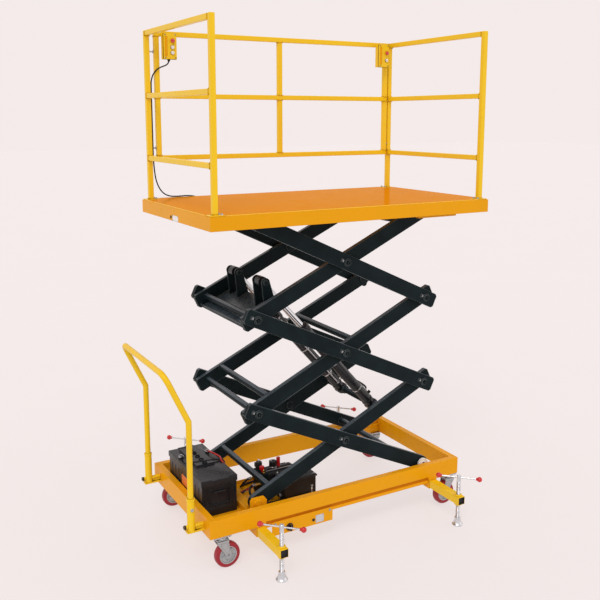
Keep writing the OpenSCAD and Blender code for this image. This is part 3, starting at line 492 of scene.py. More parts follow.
# ---------------------------------------- outriggers
def make_jack(name):
    flo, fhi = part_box("jack_foot_" + name)
    x, y = (flo.x + fhi.x) / 2, (flo.y + fhi.y) / 2
    base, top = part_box("jack_screw_" + name)[0].z, 0.326
    bm = bmesh.new()
    pitch, per, segs = 0.005, 4, 20
    start, stop = base + 0.034, top - 0.040
    rings = [[bm.verts.new((x + 0.0128 * math.cos(math.tau * k / segs), y + 0.0128 * math.sin(math.tau * k / segs),
                            base))
              for k in range(segs)]]
    count = int((stop - start) / pitch * per)
    for i in range(count + 1):
        z = start + i * pitch / per
        ring = []
        for k in range(segs):
            g = math.tau * k / segs
            phase = (z / pitch - k / segs) % 1.0
            depth = 0.0017 * min(1.0, max(0.0, abs(phase - 0.5) * 4 - 0.6))
            if i in (0, count):
                depth = 0
            r = 0.0129 - depth
            ring.append(bm.verts.new((x + r * math.cos(g), y + r * math.sin(g), z)))
        rings.append(ring)
    for r, z in ((0.0129, top - 0.002), (0.011, top)):
        rings.append([bm.verts.new((x + r * math.cos(math.tau * k / segs), y + r * math.sin(math.tau * k / segs), z))
                      for k in range(segs)])
    skin(bm, rings, 0)
    d = Vector((1, -1, 0)).normalized()
    c = Vector((x, y, 0.312))
    lathe(bm, [(0.005, -0.124), (0.005, 0.124)], c, d, 16, 0)
    for s in (-1, 1):
        ball(bm, c + d * s * 0.124, 0.0159, 1)
        lathe(bm, [(0.0085, 0.1025), (0.0085, 0.1085), (0.0105, 0.1125), (0.0105, 0.116)], c, d * s, 20, 1)
    piece("screw_made_" + name, bm, [SILVER, RED], "screw_" + name, 0, smooth=40,
          replaces=("jack_screw_" + name,))
    bm = bmesh.new()
    foot = [(0, 0.0), (0.030, 0.0), (0.0325, 0.0015), (0.034, 0.004), (0.034, 0.0065), (0.0325, 0.0085),
            (0.029, 0.0105),
            (0.024, 0.022), (0.020, 0.035), (0.0188, 0.042), (0.019, 0.0445), (0.019, 0.050), (0.0175, 0.052),
            (0.0133, 0.052),
            (0.0133, 0.022), (0, 0.022)]
    lathe(bm, foot, (x, y, 0), segs=48)
    piece("foot_made_" + name, bm, [SILVER], "foot_" + name, 0, smooth=40,
          replaces=("jack_foot_" + name,))
    bm = bmesh.new()
    for z, up in ((0.194, 1), (0.144, -1)):
        lathe(bm, [(0.0134, 0), (0.0215, 0), (0.0225, 0.002), (0.0225, 0.007), (0.021, 0.009), (0.0134, 0.009)],
              (x, y, z), (0, 0, up), 32, 0, loop=True)
    piece("nut_" + name, bm, [YELLOW], "outrigger_" + name, 0, smooth=30)


def made_jacks():
    for name, _, _ in CORNERS:
        make_jack(name)


# ---------------------------------------- handle and main switch
def made_handle():
    def socket_detail(bm):
        lo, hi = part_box("handle_sockets")
        for s in (-1, 1):
            x, y = lo.x + 0.044, s * 0.352
            lathe(bm, [(0.0168, 0), (0.0235, 0), (0.0240, 0.002), (0.0240, 0.010), (0.0228, 0.012), (0.0168, 0.012)],
                  (x, y, hi.z - 0.012), segs=40, mat=0, loop=True)
            lathe(bm, [(0, -0.001), (0.0095, -0.001), (0.0122, 0.002), (0.0122, 0.012), (0, 0.012)],
                  (lo.x + 0.0002, y, 0.258), (1, 0, 0), 28, 1)
            hex_bolt(bm, (x, y + s * 0.0212, 0.36), (0, s, 0), 0.0075, 0.006, 2)
            tube(bm, [(x - 0.030, y - 0.022, 0.2368), (x - 0.030, y + 0.022, 0.2368)], 0.0018, 8, 0)
    finish_copy("handle_sockets", [YELLOW, PLASTIC, ZINC], 0.0012, 2, extra=socket_detail)
    finish_copy("push_handle", [YELLOW], 0, smooth=50)

    def panel_detail(bm):
        y = -0.4445
        for x in (-0.412, -0.044):
            hex_bolt(bm, (x, y, 0.183), (0, -1, 0), 0.006, 0.004, 1)
        lathe(bm, [(0.019, 0), (0.024, 0), (0.024, 0.0018), (0.019, 0.0018)], (-0.318, y, 0.146), (0, -1, 0), 40, 3,
              loop=True)
        cuboid(bm, (-0.141, y - 0.0032, 0.125), (-0.087, y - 0.0012, 0.171), 2)
        for x in (-0.136, -0.092):
            for z in (0.130, 0.166):
                lathe(bm, [(0.0022, 0), (0.0022, 0.0012), (0.0014, 0.0018), (0, 0.0018)], (x, y - 0.003, z),
                      (0, -1, 0), 12, 1)
        lathe(bm, [(0.0065, 0.0035), (0.0085, 0.0035), (0.0085, 0.0048), (0.0065, 0.0048)], (-0.158, y, 0.148),
              (0, -1, 0), 28, 3, loop=True)

    def panel_rule(c):
        if c.y < -0.4447:
            return 2 if c.x > -0.145 else 3
        return 0
    finish_copy("switch_panel", [ORANGE, ZINC, SILVER, PLASTIC], 0.0008, 2, rule=panel_rule, extra=panel_detail)

    def switch_detail(bm):
        for k in range(18):
            g = math.tau * k / 18
            c = Vector((-0.318 + 0.0170 * math.cos(g), -0.4505, 0.146 + 0.0170 * math.sin(g)))
            lathe(bm, [(0.0011, 0), (0.0011, 0.004)], c, (0, -1, 0), 6, 0)
        cuboid(bm, (-0.3188, -0.4692, 0.146), (-0.3172, -0.4682, 0.162), 1)
    finish_copy("power_switch", [PLASTIC, WHITE], 0.0008, 2, extra=switch_detail)


# ---------------------------------------- battery and power unit
def made_power():
    lo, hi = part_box("battery_box")
    llo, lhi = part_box("battery_lid")
    seam = llo.z

    def case(bm):
        for s, y in ((-1, lo.y), (1, hi.y)):
            for x in (lo.x + 0.022, hi.x - 0.022):
                cuboid(bm, (x - 0.006, y - 0.003, lo.z + 0.012), (x + 0.006, y + 0.003, seam - 0.012), 0)
            xm = (lo.x + hi.x) / 2
            ring = [(xm - 0.062, lo.z + 0.060), (xm + 0.062, lo.z + 0.060), (xm + 0.062, seam - 0.026),
                    (xm - 0.062, seam - 0.026)]
            tube(bm, [(x, y - s * 0.0005, z) for x, z in ring], 0.0045, 8, 0, closed=True)
            tube(bm, [(xm - 0.040, y - s * 0.001, seam - 0.045), (xm + 0.040, y - s * 0.001, seam - 0.045)], 0.0055,
                 12, 0)
        for s, x in ((-1, lo.x), (1, hi.x)):
            n = 9
            for k in range(n):
                y = lo.y + 0.05 + k * (hi.y - lo.y - 0.1) / (n - 1)
                cuboid(bm, (x - 0.0022, y - 0.004, lo.z + 0.020), (x + 0.0022, y + 0.004, seam - 0.018), 0)
            ym = (lo.y + hi.y) / 2
            cuboid(bm, (x - 0.0030, ym - 0.13, lo.z + 0.045), (x + 0.0030, ym + 0.02, lo.z + 0.078), 1)
            cuboid(bm, (x - 0.0030, ym - 0.10, lo.z + 0.092), (x + 0.0030, ym + 0.05, seam - 0.035), 2)
    finish_copy("battery_box", [CASE, WHITE, LABEL], 0.0025, 3, extra=case)

    def lid(bm):
        top = lhi.z - 0.020
        ym = (llo.y + lhi.y) / 2
        for k in range(6):
            y = ym - 0.045 + k * 0.055
            lathe(bm, [(0, 0.0115), (0.014, 0.0115), (0.0155, 0.013), (0.0155, 0.0175), (0.013, 0.019), (0, 0.019)],
                  ((llo.x + lhi.x) / 2, y, top), segs=24, mat=0)
            cuboid(bm, ((llo.x + lhi.x) / 2 - 0.010, y - 0.0012, top + 0.018),
                   ((llo.x + lhi.x) / 2 + 0.010, y + 0.0012, top + 0.0198), 0)
        tube(bm, [(llo.x + 0.006, llo.y + 0.006, top - 0.004), (lhi.x - 0.006, llo.y + 0.006, top - 0.004),
                  (lhi.x - 0.006, lhi.y - 0.006, top - 0.004), (llo.x + 0.006, lhi.y - 0.006, top - 0.004)], 0.0045,
             8, 0, closed=True)
        for s in (-1, 1):
            cuboid(bm, ((llo.x + lhi.x) / 2 - 0.052, ym + s * 0.265 - 0.016, top - 0.002),
                   ((llo.x + lhi.x) / 2 + 0.052, ym + s * 0.265 + 0.004 * s, top + 0.003), 0)
        for x in (llo.x + 0.028, lhi.x - 0.028):
            lathe(bm, [(0.0095, 0.004), (0.016, 0.004), (0.016, 0.014), (0.0095, 0.014)], (x, ym + 0.12, top),
                  segs=24, mat=1, loop=True)
            hex_bolt(bm, (x + 0.013, ym + 0.12, top + 0.009), (1, 0, 0), 0.0045, 0.004, 1, washer=False)

    def lid_rule(c):
        return 1 if c.z > lhi.z - 0.0075 else 0
    finish_copy("battery_lid", [CASE, ZINC], 0.003, 3, rule=lid_rule, extra=lid)

    bm = bmesh.new()
    top = lhi.z - 0.020
    ym = (llo.y + lhi.y) / 2
    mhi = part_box("pump_motor")[1]
    for k, (x, mat) in enumerate(((llo.x + 0.028, 0), (lhi.x - 0.028, 1))):
        y = ym + 0.12
        tube(bm, catmull([(x, y - 0.012, top + 0.012), (x + 0.004, y - 0.05, top + 0.020),
                          (x + 0.03, y - 0.12, top + 0.012),
                         (lhi.x - 0.006, ym - 0.03 - 0.02 * k, top + 0.007),
                          (lhi.x + 0.012, ym - 0.06 - 0.02 * k, top - 0.03),
                         (lhi.x + 0.022, ym - 0.075 - 0.02 * k, 0.30), (lhi.x + 0.045, ym - 0.09, 0.226 + 0.01 * k),
                         (-0.44, -0.05 + 0.02 * k, 0.214), (-0.40, -0.02, 0.214),
                          (-0.34, -0.005 - 0.005 * k, 0.218)], 6), 0.0052, 12, mat)
    piece("battery_leads", bm, [CABLE, LEAD], "base", 0, smooth=60)

    tlo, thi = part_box("hydraulic_tank")

    def tank(bm):
        lip = thi.z - 0.014
        cuboid(bm, (tlo.x - 0.006, tlo.y - 0.006, lip - 0.014), (thi.x + 0.006, thi.y + 0.001, lip - 0.002), 0)
        for x in (tlo.x + 0.012, (tlo.x + thi.x) / 2, thi.x - 0.012):
            for y in (tlo.y + 0.010, thi.y - 0.012):
                hex_bolt(bm, (x, y, lip), (0, 0, 1), 0.0055, 0.0045, 1)
        cx, cy = thi.x - 0.045, (tlo.y + thi.y) / 2
        lathe(bm, [(0.0185, 0.001), (0.021, 0.001), (0.021, 0.004), (0.0185, 0.004)], (cx, cy, lip), segs=32, mat=1,
              loop=True)
        for k in range(16):
            g = math.tau * k / 16
            lathe(bm, [(0.0016, 0.003), (0.0016, 0.0135)],
                  (cx + 0.0178 * math.cos(g), cy + 0.0178 * math.sin(g), lip), segs=6, mat=0)
        for z in (0.24, 0.275):
            lathe(bm, [(0.0075, 0), (0.0095, 0), (0.0095, 0.003), (0.0075, 0.004), (0, 0.004)],
                  (thi.x - 0.03, tlo.y, z), (0, -1, 0), 24, 1)
        cuboid(bm, (thi.x - 0.034, tlo.y - 0.0025, 0.242), (thi.x - 0.026, tlo.y, 0.273), 2)
    finish_copy("hydraulic_tank", [BLACK, ZINC, WHITE], 0.0035, 3, extra=tank)

    def motor(bm):
        ax = Vector((1, 0, 0))
        y, z = -0.078, 0.298
        for x, r in ((-0.300, 0.0575), (-0.128, 0.0575)):
            lathe(bm, [(0.050, 0), (r, 0), (r, 0.016), (0.050, 0.016)], (x, y, z), ax, 48, 0, loop=True)
        for k in range(4):
            g = math.tau * k / 4 + 0.5
            hex_bolt(bm, (-0.112, y + 0.050 * math.cos(g), z + 0.050 * math.sin(g)), ax, 0.0045, 0.004, 1)
            tube(bm, [(-0.30, y + 0.0585 * math.cos(g), z + 0.0585 * math.sin(g)),
                      (-0.112, y + 0.0585 * math.cos(g), z + 0.0585 * math.sin(g))], 0.003, 8, 1)
        for k in range(14):
            g = -1.1 + k * 2.2 / 13 - math.pi / 2
            cuboid(bm, (-0.28, -0.0015, 0.055), (-0.132, 0.0015, 0.0605), 0,
                   Matrix.Translation((0, y, z)) @ Matrix.Rotation(g, 4, "X"))
        for x in (-0.245, -0.225):
            lathe(bm, [(0.0045, 0), (0.0045, 0.008), (0, 0.009)], (x, y, z + 0.096), (0, 0, 1), 16, 1)
        for dx in (-0.012, 0.012):
            hex_bolt(bm, (-0.235 + dx, y, z + 0.0955), (0, 0, 1), 0.005, 0.004, 1, washer=False)
        lathe(bm, [(0.0242, 0.010), (0.0252, 0.010), (0.0252, 0.016), (0.0242, 0.016)], (-0.235, y, z + 0.05),
              segs=32, mat=2, loop=True)

    def motor_rule(c):
        return 3 if c.z > mhi.z - 0.040 and c.x > -0.211 else 0
    finish_copy("pump_motor", [BLACK, ZINC, SILVER, RED], 0.002, 2, rule=motor_rule, extra=motor)

    def valve(bm):
        y = -0.078
        hexes = [((-0.345, y + 0.03, 0.30), (-1, 0, 0), 0.010, 3), ((-0.322, y - 0.048, 0.35), (0, 0, 1), 0.008, 3),
                 ((-0.345, y - 0.015, 0.272), (-1, 0, 0), 0.008, 1)]
        for place, axis, r, mat in hexes:
            hex_bolt(bm, place, axis, r, 0.008, mat, washer=False)
            lathe(bm, [(r * 0.6, 0.006), (r * 0.6, 0.020), (r * 0.4, 0.024), (0, 0.024)], place, axis, 16, mat)
        lathe(bm, [(0.0085, 0), (0.0085, 0.012), (0.007, 0.016), (0, 0.016)], (-0.323, y + 0.018, 0.40), segs=20, mat=1)
        lathe(bm, [(0.0192, 0.012), (0.0205, 0.012), (0.0205, 0.040), (0.0192, 0.040)], (-0.323, y + 0.018, 0.35),
              segs=32, mat=2, loop=True)
        cuboid(bm, (-0.335, y + 0.036, 0.356), (-0.311, y + 0.058, 0.384), 2)

    def valve_rule(c):
        if c.x < -0.346 and c.z > 0.26:
            return 3
        if c.z > 0.351:
            return 2
        if c.y < -0.1405:
            return 1
        return 0
    finish_copy("valve_block", [DARK, SILVER, PLASTIC, BRASS], 0.0015, 2, rule=valve_rule, extra=valve)

    def knob(bm):
        for k in range(14):
            g = math.tau * k / 14
            lathe(bm, [(0.0013, 0.001), (0.0013, 0.018)],
                  (-0.326 + 0.014 * math.cos(g), -0.108 + 0.014 * math.sin(g), 0.370), segs=6, mat=0)
    finish_copy("lowering_knob", [RED], 0.001, 2, extra=knob)

    bm = bmesh.new()
    runs = (
        [(-0.379, -0.118, 0.285), (-0.405, -0.120, 0.284), (-0.425, -0.135, 0.268), (-0.430, -0.165, 0.245),
         (-0.425, -0.20, 0.228),
         (-0.400, -0.232, 0.220), (-0.35, -0.247, 0.2165), (-0.30, -0.252, 0.2165), (-0.262, -0.240, 0.222),
         (-0.2555, -0.215, 0.235)],
        [(-0.370, -0.048, 0.300), (-0.395, -0.047, 0.296), (-0.415, -0.035, 0.272), (-0.418, -0.005, 0.240),
         (-0.405, 0.03, 0.2185),
         (-0.36, 0.055, 0.2145), (-0.30, 0.065, 0.2145), (-0.20, 0.068, 0.2145), (-0.12, 0.055, 0.2145),
         (-0.07, 0.02, 0.2145), (-0.06, -0.03, 0.2145)],
    )
    for run in runs:
        tube(bm, catmull(run, 6), 0.0068, 14, 0)
        for end in (0, -1):
            a, b = Vector(run[end]), Vector(run[1 if end == 0 else -2])
            lathe(bm, [(0.0072, 0), (0.0088, 0.0005), (0.0088, 0.020), (0.0072, 0.0205)], a, b - a, 18, 1, loop=True)
    piece("pump_hoses", bm, [HOSE, ZINC], "base", 0, smooth=50)


# ---------------------------------------- deck and guard rail
def weld(bm, corners, closed=True, r=0.0021, mat=1, seed=0):
    """Rippled bead along straight runs between corners."""
    points = []
    runs = list(zip(corners, corners[1:])) + ([(corners[-1], corners[0])] if closed else [])
    for a, b in runs:
        a, b = Vector(a), Vector(b)
        n = max(2, int((b - a).length / 0.0032))
        points += [a.lerp(b, k / n) for k in range(n)]
    if not closed:
        points.append(Vector(corners[-1]))
    radii = [r * (1.0 + 0.22 * math.sin(2.4 * i + seed) + 0.10 * math.sin(0.71 * i + seed * 2))
             for i in range(len(points))]
    tube(bm, points, radii, 6, mat, closed)


def square(centre, normal, half=0.0155):
    """Corners of a square joint across the axis that normal names."""
    c = Vector(centre)
    offsets = {"x": [(0, -1, -1), (0, 1, -1), (0, 1, 1), (0, -1, 1)],
               "y": [(-1, 0, -1), (1, 0, -1), (1, 0, 1), (-1, 0, 1)],
               "z": [(-1, -1, 0), (1, -1, 0), (1, 1, 0), (-1, 1, 0)]}[normal]
    return [c + Vector(o) * half for o in offsets]


def made_rails():
    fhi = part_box("rail_left")[1]
    blo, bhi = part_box("rail_back")
    dlo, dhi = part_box("deck_plate")
    top = fhi.z - 0.015
    levels = (top, dhi.z + 0.62, dhi.z + 0.249)
    post_y = 0.483
    for node, x in (("rail_left", dlo.x + 0.042), ("rail_right", dhi.x - 0.042)):
        def detail(bm, x=x):
            for z in levels:
                for s in (-1, 1):
                    q = square((x, s * (post_y - 0.0155), z), "y")
                    if z == top:
                        drop = Vector((0, 0, 0.0050))
                        weld(bm, [q[3] - drop, q[0], q[1], q[2] - drop], False, seed=s)
                    else:
                        weld(bm, q, seed=z * 7 + s)
            for s in (-1, 1):
                weld(bm, square((x, s * post_y, dhi.z + 0.0022), "z", 0.0165), seed=s + 3)
        finish_copy(node, [YELLOW, YELLOW_WELD], 0.0038, 3, extra=detail)

    def back(bm):
        xm = (blo.x + bhi.x) / 2
        for x in (blo.x + 0.015, xm, bhi.x - 0.015):
            for a, b in ((levels[2], levels[1]), (levels[1], levels[0])):
                weld(bm, square((x, post_y, a + 0.0155), "z"), seed=x)
                weld(bm, square((x, post_y, b - 0.0155), "z"), seed=x + 1)
    finish_copy("rail_back", [YELLOW, YELLOW_WELD], 0.0038, 3, extra=back)

    bm = bmesh.new()
    base = dhi.z + 0.001
    for x in (dlo.x + 0.072, dhi.x - 0.072):
        for s in (-1, 1):
            for dy in (0.024, -0.012):
                hex_bolt(bm, (x, s * (post_y + dy), base), (0, 0, 1), 0.0068, 0.0052, 0)
                tube(bm, [(x, s * (post_y + dy), base), (x, s * (post_y + dy), base + 0.009)], 0.0036, 12, 0)
    for z in (fhi.z - 0.120, levels[2] + 0.060):
        for a, b, y in ((dlo.x + 0.057, blo.x, post_y + 0.009), (bhi.x, dhi.x - 0.057, post_y)):
            tube(bm, [(a, y, z), (b, y, z)], 0.004, 14, 0)
            hex_bolt(bm, (a, y, z), (1, 0, 0), 0.0078, 0.0055, 0)
            hex_bolt(bm, (b, y, z), (-1, 0, 0), 0.0078, 0.0055, 0)
    piece("rail_bolts_made", bm, [ZINC], "deck", 0.0004, 1, 30, replaces=("rail_bolts",))


def made_deck():
    dlo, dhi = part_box("deck_plate")
    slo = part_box("deck_frame")[0]

    def frame_detail(bm):
        for k in range(9):
            x = dlo.x + 0.10 + k * (dhi.x - dlo.x - 0.20) / 8
            for s in (-1, 1):
                y = s * 0.484
                weld(bm, [(x - 0.02, y, slo.z + 0.0745), (x + 0.02, y, slo.z + 0.0745)], False, 0.0018, 2, seed=k)
        gx, gy, gz = (v / 1000 for v in ROUTE[-1])
        lathe(bm, [(0.0112, -0.014), (0.0112, -0.002)], (gx, gy, gz), segs=6, mat=1)
        lathe(bm, [(0.0088, -0.002), (0.0088, 0.004), (0.0076, 0.007), (0.0045, 0.009), (0.0042, 0.009)],
              (gx, gy, gz), segs=24, mat=1)
        for k in range(3):
            lathe(bm, [(0.0055 - 0.0004 * k, 0.009 + 0.007 * k), (0.0064 - 0.0004 * k, 0.011 + 0.007 * k),
                       (0.0064 - 0.0004 * k, 0.013 + 0.007 * k),
                       (0.0052 - 0.0004 * k, 0.015 + 0.007 * k)], (gx, gy, gz), segs=20, mat=1)
        lx = dlo.x - 0.0002
        cuboid(bm, (lx - 0.0006, -0.078, slo.z + 0.028), (lx + 0.001, 0.009, slo.z + 0.060), 3)
        for y in (-0.074, 0.005):
            for z in (slo.z + 0.031, slo.z + 0.057):
                lathe(bm, [(0.0016, 0), (0.0016, 0.0006), (0, 0.001)], (lx - 0.0006, y, z), (-1, 0, 0), 10, 4)
        lathe(bm, [(0, 0), (0.009, 0), (0.009, 0.0010), (0.007, 0.0016), (0, 0.0016)],
              (lx + 0.0006, 0.034, slo.z + 0.046), (-1, 0, 0), 24, 1)
    finish_copy("deck_frame", [ORANGE, PLASTIC, ORANGE, WHITE, ZINC], 0.0022, 3,
                rule=lambda c: 1 if c.y > 0.5253 else 0, extra=frame_detail)
    # the plate's side faces and bevels take the lighter orange as a painted highlight
    finish_copy("deck_plate", [PLATE, HIGHLIGHT_ORANGE], 0.0022, 3, edge_mat=1, highlight_sides=1)


# ---------------------------------------- control boxes
def made_controls():
    lo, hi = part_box("control_boxes")
    buttons = {"left": ("stop_button_left", "up_button_left", "down_button_left"),
               "right": ("stop_button_right", "up_button_right")}

    def box_detail(bm):
        for side, names in buttons.items():
            x0 = lo.x if side == "left" else hi.x - 0.080
            x1 = x0 + 0.080
            y = lo.y
            seam = y + 0.013
            ring = [(x0 - 0.0002, lo.z - 0.0002), (x1 + 0.0002, lo.z - 0.0002), (x1 + 0.0002, hi.z + 0.0002),
                    (x0 - 0.0002, hi.z + 0.0002)]
            tube(bm, [(x, seam, z) for x, z in ring], 0.0009, 6, 1, closed=True)
            for x in (x0 + 0.008, x1 - 0.008):
                for z in (lo.z + 0.008, hi.z - 0.008):
                    lathe(bm, [(0.0034, 0), (0.0034, 0.0012), (0.0026, 0.002), (0, 0.002)], (x, y, z), (0, -1, 0),
                          16, 2)
                    cuboid(bm, (x - 0.0026, y - 0.0023, z - 0.0004), (x + 0.0026, y - 0.0018, z + 0.0004), 1)
            for n in names:
                blo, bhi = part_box(n)
                c = (blo + bhi) / 2
                r = (bhi.x - blo.x) / 2
                if not n.startswith("stop"):
                    lathe(bm, [(0.0056, 0), (r + 0.0025, 0), (r + 0.0022, 0.0009), (r + 0.0006, 0.0013),
                               (0.0056, 0.0013)],
                          (c.x, y, c.z), (0, -1, 0), 36, 2, loop=True)
            cuboid(bm, (x0 + 0.006, y - 0.0005, lo.z + 0.018), (x0 + 0.020, y + 0.0005, hi.z - 0.018), 4)
            for z in (lo.z + 0.025, hi.z - 0.025):
                cuboid(bm, (x0 + 0.020, hi.y - 0.002, z - 0.008), (x1 - 0.020, hi.y, z + 0.008), 2)
        gx, gy = (v / 1000 for v in ROUTE[0][:2])
        lathe(bm, [(0.0062, 0), (0.0095, 0), (0.0095, 0.006), (0.0062, 0.006)], (gx, gy, lo.z), (0, 0, -1), 6, 1,
              loop=True)
        lathe(bm, [(0.0044, 0.006), (0.0082, 0.006), (0.0080, 0.010), (0.0058, 0.0125), (0.0044, 0.0125)],
              (gx, gy, lo.z), (0, 0, -1), 24, 1, loop=True)
    finish_copy("control_boxes", [YELLOW, PLASTIC, ZINC, WHITE, ORANGE], 0.0022, 3, extra=box_detail)

    for names in buttons.values():
        for n in names:
            blo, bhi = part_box(n)
            c = (blo + bhi) / 2
            r = (bhi.x - blo.x) / 2
            face = lo.y - 0.006
            bm = bmesh.new()
            lathe(bm, [(0, 0.018), (0.008, 0.018), (0.008, 0.0145), (0.005, 0.0145), (0.005, 0.0), (0, 0.0)],
                  (c.x, face, c.z), (0, 1, 0), 32, 0)
            if n.startswith("stop"):
                lathe(bm, [(0.0085, -0.0004), (0.0098, 0.0008), (r - 0.0004, 0.0025), (r, 0.0045),
                           (r - 0.0006, 0.0068), (r - 0.003, 0.0082),
                           (0.005, 0.0089), (0, 0.0090)], (c.x, face, c.z), (0, -1, 0), 40, 0)
                for k in range(3):
                    g0 = math.tau * k / 3
                    arc = [(c.x + 0.0072 * math.cos(g0 + a * 0.12), face - 0.0088,
                            c.z + 0.0072 * math.sin(g0 + a * 0.12)) for a in range(12)]
                    tube(bm, arc, 0.0004, 6, 1)
                    tip = Vector(arc[-1])
                    tube(bm, [tip, tip + Vector((-0.0010, 0, -0.0022)).normalized() * 0.0022], 0.0004, 6, 1)
            else:
                lathe(bm, [(r - 0.0012, -0.0004), (r - 0.0002, 0.0004), (r, 0.0026), (r - 0.0008, 0.0036),
                           (r - 0.0022, 0.0040), (0, 0.0036)],
                      (c.x, face, c.z), (0, -1, 0), 40, 0)
                s = -1 if n.startswith("down") else 1
                y = face - 0.0040
                for a, b in (((-0.003, -0.0015), (0, 0.0025)), ((0.003, -0.0015), (0, 0.0025))):
                    tube(bm, [(c.x + a[0], y, c.z + s * a[1]), (c.x + b[0], y, c.z + s * b[1])], 0.0005, 6, 1)
            piece(n + "_made", bm, [RED if n.startswith("stop") else WHITE,
                                    WHITE if n.startswith("stop") else PLASTIC], n, 0, smooth=40,
                  replaces=(n,))


# ---------------------------------------- scissor, rollers and cylinders
# distance along and height across the inner arm: rod eye on the third pair, barrel eye on the first
ROD_EYE = (0.186, 0.104)
BARREL_EYE = (0.985, -0.035)


def arm_point(stage, kind, s, h=0.0):
    """Place at distance s along and h across an arm of a stage, drawn raised."""
    tilt = math.radians(25)
    px, pz, rise = -0.483, 0.298, 1.290 * math.sin(tilt)
    if kind == "inner":
        return Vector((px + s * math.cos(tilt) - h * math.sin(tilt), 0,
                       pz + (stage - 1) * rise + s * math.sin(tilt) + h * math.cos(tilt)))
    return Vector((px + s * math.cos(tilt) + h * math.sin(tilt), 0,
                   pz + stage * rise - s * math.sin(tilt) + h * math.cos(tilt)))


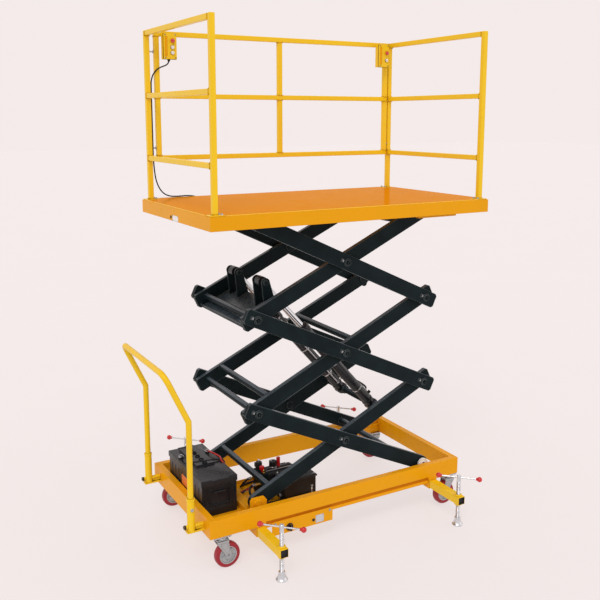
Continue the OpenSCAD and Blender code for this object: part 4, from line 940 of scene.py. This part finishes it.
def made_scissor():
    def keeper_detail(bm, stage, stops):
        for s_ in stops:
            for side in (-1, 1):
                c = arm_point(stage, "outer", s_)
                face = side * 0.385
                lathe(bm, [(0.026, 0), (0.0285, 0), (0.0285, 0.0018), (0.026, 0.0026)], (c.x, face, c.z),
                      (0, side, 0), 40, 0, loop=True)
                lathe(bm, [(0.0125, 0.009), (0.0145, 0.009), (0.016, 0.0075)], (c.x, face, c.z), (0, side, 0), 40, 1)
                lathe(bm, [(0.0030, 0.009), (0.0030, 0.012), (0.0022, 0.014), (0, 0.015)], (c.x, face, c.z),
                      (0, side, 0), 14, 2)
                b = arm_point(stage, "outer", s_ - 0.037)
                hex_bolt(bm, (b.x, face + side * 0.0048, b.z), (0, side, 0), 0.0072, 0.0058, 2)

    ends = {1: (0.0, 0.645), 2: (0.0, 0.645, 1.290), 3: (0.645, 1.290)}
    for stage in (1, 2, 3):
        # upward arm faces take the painted sheen, bevels the worn paint with painted highlight
        finish_copy(f"outer_arms_{stage}", [DARK, EDGE_WEAR_HIGHLIGHT, ZINC, ARM_TOP_SHEEN], 0.0022, 2, edge_mat=1, sheen_tops=3,
                    extra=lambda bm, k=stage: keeper_detail(bm, k, ends[k]))
        finish_copy(f"inner_arms_{stage}", [DARK, EDGE_WEAR_HIGHLIGHT, ZINC, ARM_TOP_SHEEN], 0.0022, 2, edge_mat=1, sheen_tops=3)

    for node in ("lower_rollers", "upper_rollers"):
        lo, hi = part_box(node)
        c = (lo + hi) / 2
        r = (hi.z - lo.z) / 2
        y0 = hi.y - 0.018
        bm = bmesh.new()
        for s in (-1, 1):
            o = (c.x, s * y0, c.z)
            lathe(bm, [(0.01206, 0.0), (r - 0.010, 0.0), (r - 0.008, 0.0012), (r - 0.002, 0.0012), (r, 0.003),
                       (r, 0.0155), (r - 0.002, 0.0172),
                       (r - 0.007, 0.0172), (r - 0.009, 0.0155), (0.020, 0.0155), (0.018, 0.018), (0.01206, 0.018)],
                  o, (0, s, 0), 56, 0, loop=True)
            lathe(bm, [(0.0124, 0.0155), (0.0172, 0.0155), (0.0172, 0.01795), (0.0124, 0.01795)], o, (0, s, 0), 40,
                  1, loop=True)
        piece(node + "_made", bm, [NYLON, ZINC], BODY[node], 0, smooth=35, replaces=(node,))

    eye = arm_point(1, "inner", *BARREL_EYE)
    rod_eye = arm_point(3, "inner", *ROD_EYE)
    tilt_axis = rod_eye - eye
    u = tilt_axis.normalized()
    side = Vector((0, 1, 0))
    up = u.cross(side)

    def barrel_detail(bm):
        for s in (-1, 1):
            o = eye + Vector((0, s * 0.180, 0))
            lathe(bm, [(0.0331, 0), (0.0355, 0.001), (0.0355, 0.010), (0.0331, 0.012)], o + u * 0.040, u, 48, 0,
                  loop=True)
            lathe(bm, [(0.0205, 0.0), (0.031, 0.0), (0.032, 0.0018), (0.032, 0.004), (0.029, 0.006),
                       (0.0205, 0.006)], o + u * 0.7701, u, 48, 1, loop=True)
            for k in range(2):
                lathe(bm, [(0.0384, 0.0), (0.0392, 0.0008), (0.0384, 0.0016)], o + u * (0.732 + 0.016 * k), u, 48,
                      0, loop=True)
            for t in (0.16, 0.42, 0.66):
                lathe(bm, [(0.0331, 0.0), (0.0345, 0.0), (0.0345, 0.010), (0.0331, 0.010)], o + u * t, u, 40, 2,
                      loop=True)
                cuboid(bm, (-0.006, -0.009, -0.002), (0.006, 0.009, 0.010), 2,
                       Matrix.Translation(o + u * (t + 0.005) + side * (-s * 0.0345)) @ u.to_track_quat("X",
                               "Z").to_matrix().to_4x4())
            line = [o + u * t + side * (-s * 0.0425) for t in (0.085, 0.16, 0.42, 0.66, 0.728)]
            tube(bm, catmull(line, 4), 0.0042, 12, 2)
            hex_bolt(bm, o + u * 0.745 + side * (-s * 0.0375), side * -s, 0.0085, 0.010, 2, washer=False)
            hex_bolt(bm, o + u * 0.070 + side * (-s * 0.0325), side * -s, 0.0085, 0.010, 2, washer=False)

        for t, drop in ((0.070, 0.060), (0.100, 0.048)):
            port = [eye + Vector((0, y, 0)) + u * t - up * h for y, h in
                    ((-0.150, 0.036), (-0.120, drop), (-0.060, drop + 0.008), (0.0, drop + 0.010),
                     (0.060, drop + 0.008), (0.120, drop), (0.150, 0.036))]
            tube(bm, catmull(port, 5), 0.0062, 12, 1)
            for end in (0, -1):
                a, b = port[end], port[1 if end == 0 else -2]
                lathe(bm, [(0.0065, 0), (0.0090, 0.0005), (0.0090, 0.018), (0.0065, 0.0185)], a, b - a, 6, 2, loop=True)

    finish_copy("cylinder_barrels", [BLACK, PLASTIC, ZINC], 0.0012, 2, extra=barrel_detail)

    def on_eye(c):
        return 1 if math.hypot(c.x - rod_eye.x, c.z - rod_eye.z) < 0.034 else 0
    finish_copy("cylinder_rods", [CHROME, BLACK], 0.0012, 2, rule=on_eye)


# ---------------------------------------- plates, tubes and frames from the CAD
def made_frames():
    groove_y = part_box("base_side_beams")[1].y - 0.014

    # the recessed groove faces take the deeper orange as painted shade
    def in_shaded_groove(c):
        return 1 if abs(abs(c.y) - groove_y) < 0.0006 and 0.19 < c.z < 0.225 else 0
    finish_copy("base_side_beams", [ORANGE, GROOVE_SHADE], 0.0022, 3, rule=in_shaded_groove)
    for node in ("base_cross_members", "roller_tracks", "pivot_brackets", "outrigger_sleeves"):
        finish_copy(node, [ORANGE], 0.0022, 3)
    for name, _, _ in CORNERS:
        alo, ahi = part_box("outrigger_arm_" + name)
        tip = max(abs(alo.y), abs(ahi.y))

        # inner faces at the open end of each arm are painted black as the shade inside the tube
        def in_shaded_end(c):
            in_bore = alo.x + 0.002 < c.x < ahi.x - 0.002 and alo.z + 0.002 < c.z < ahi.z - 0.002
            return 1 if in_bore and tip - 0.0115 < abs(c.y) < tip - 0.0010 else 0
        finish_copy("outrigger_arm_" + name, [YELLOW, PLASTIC], 0.0022, 3, rule=in_shaded_end)


made_frames()
made_castors()
made_jacks()
made_handle()
made_power()
made_rails()
made_deck()
made_controls()
made_scissor()
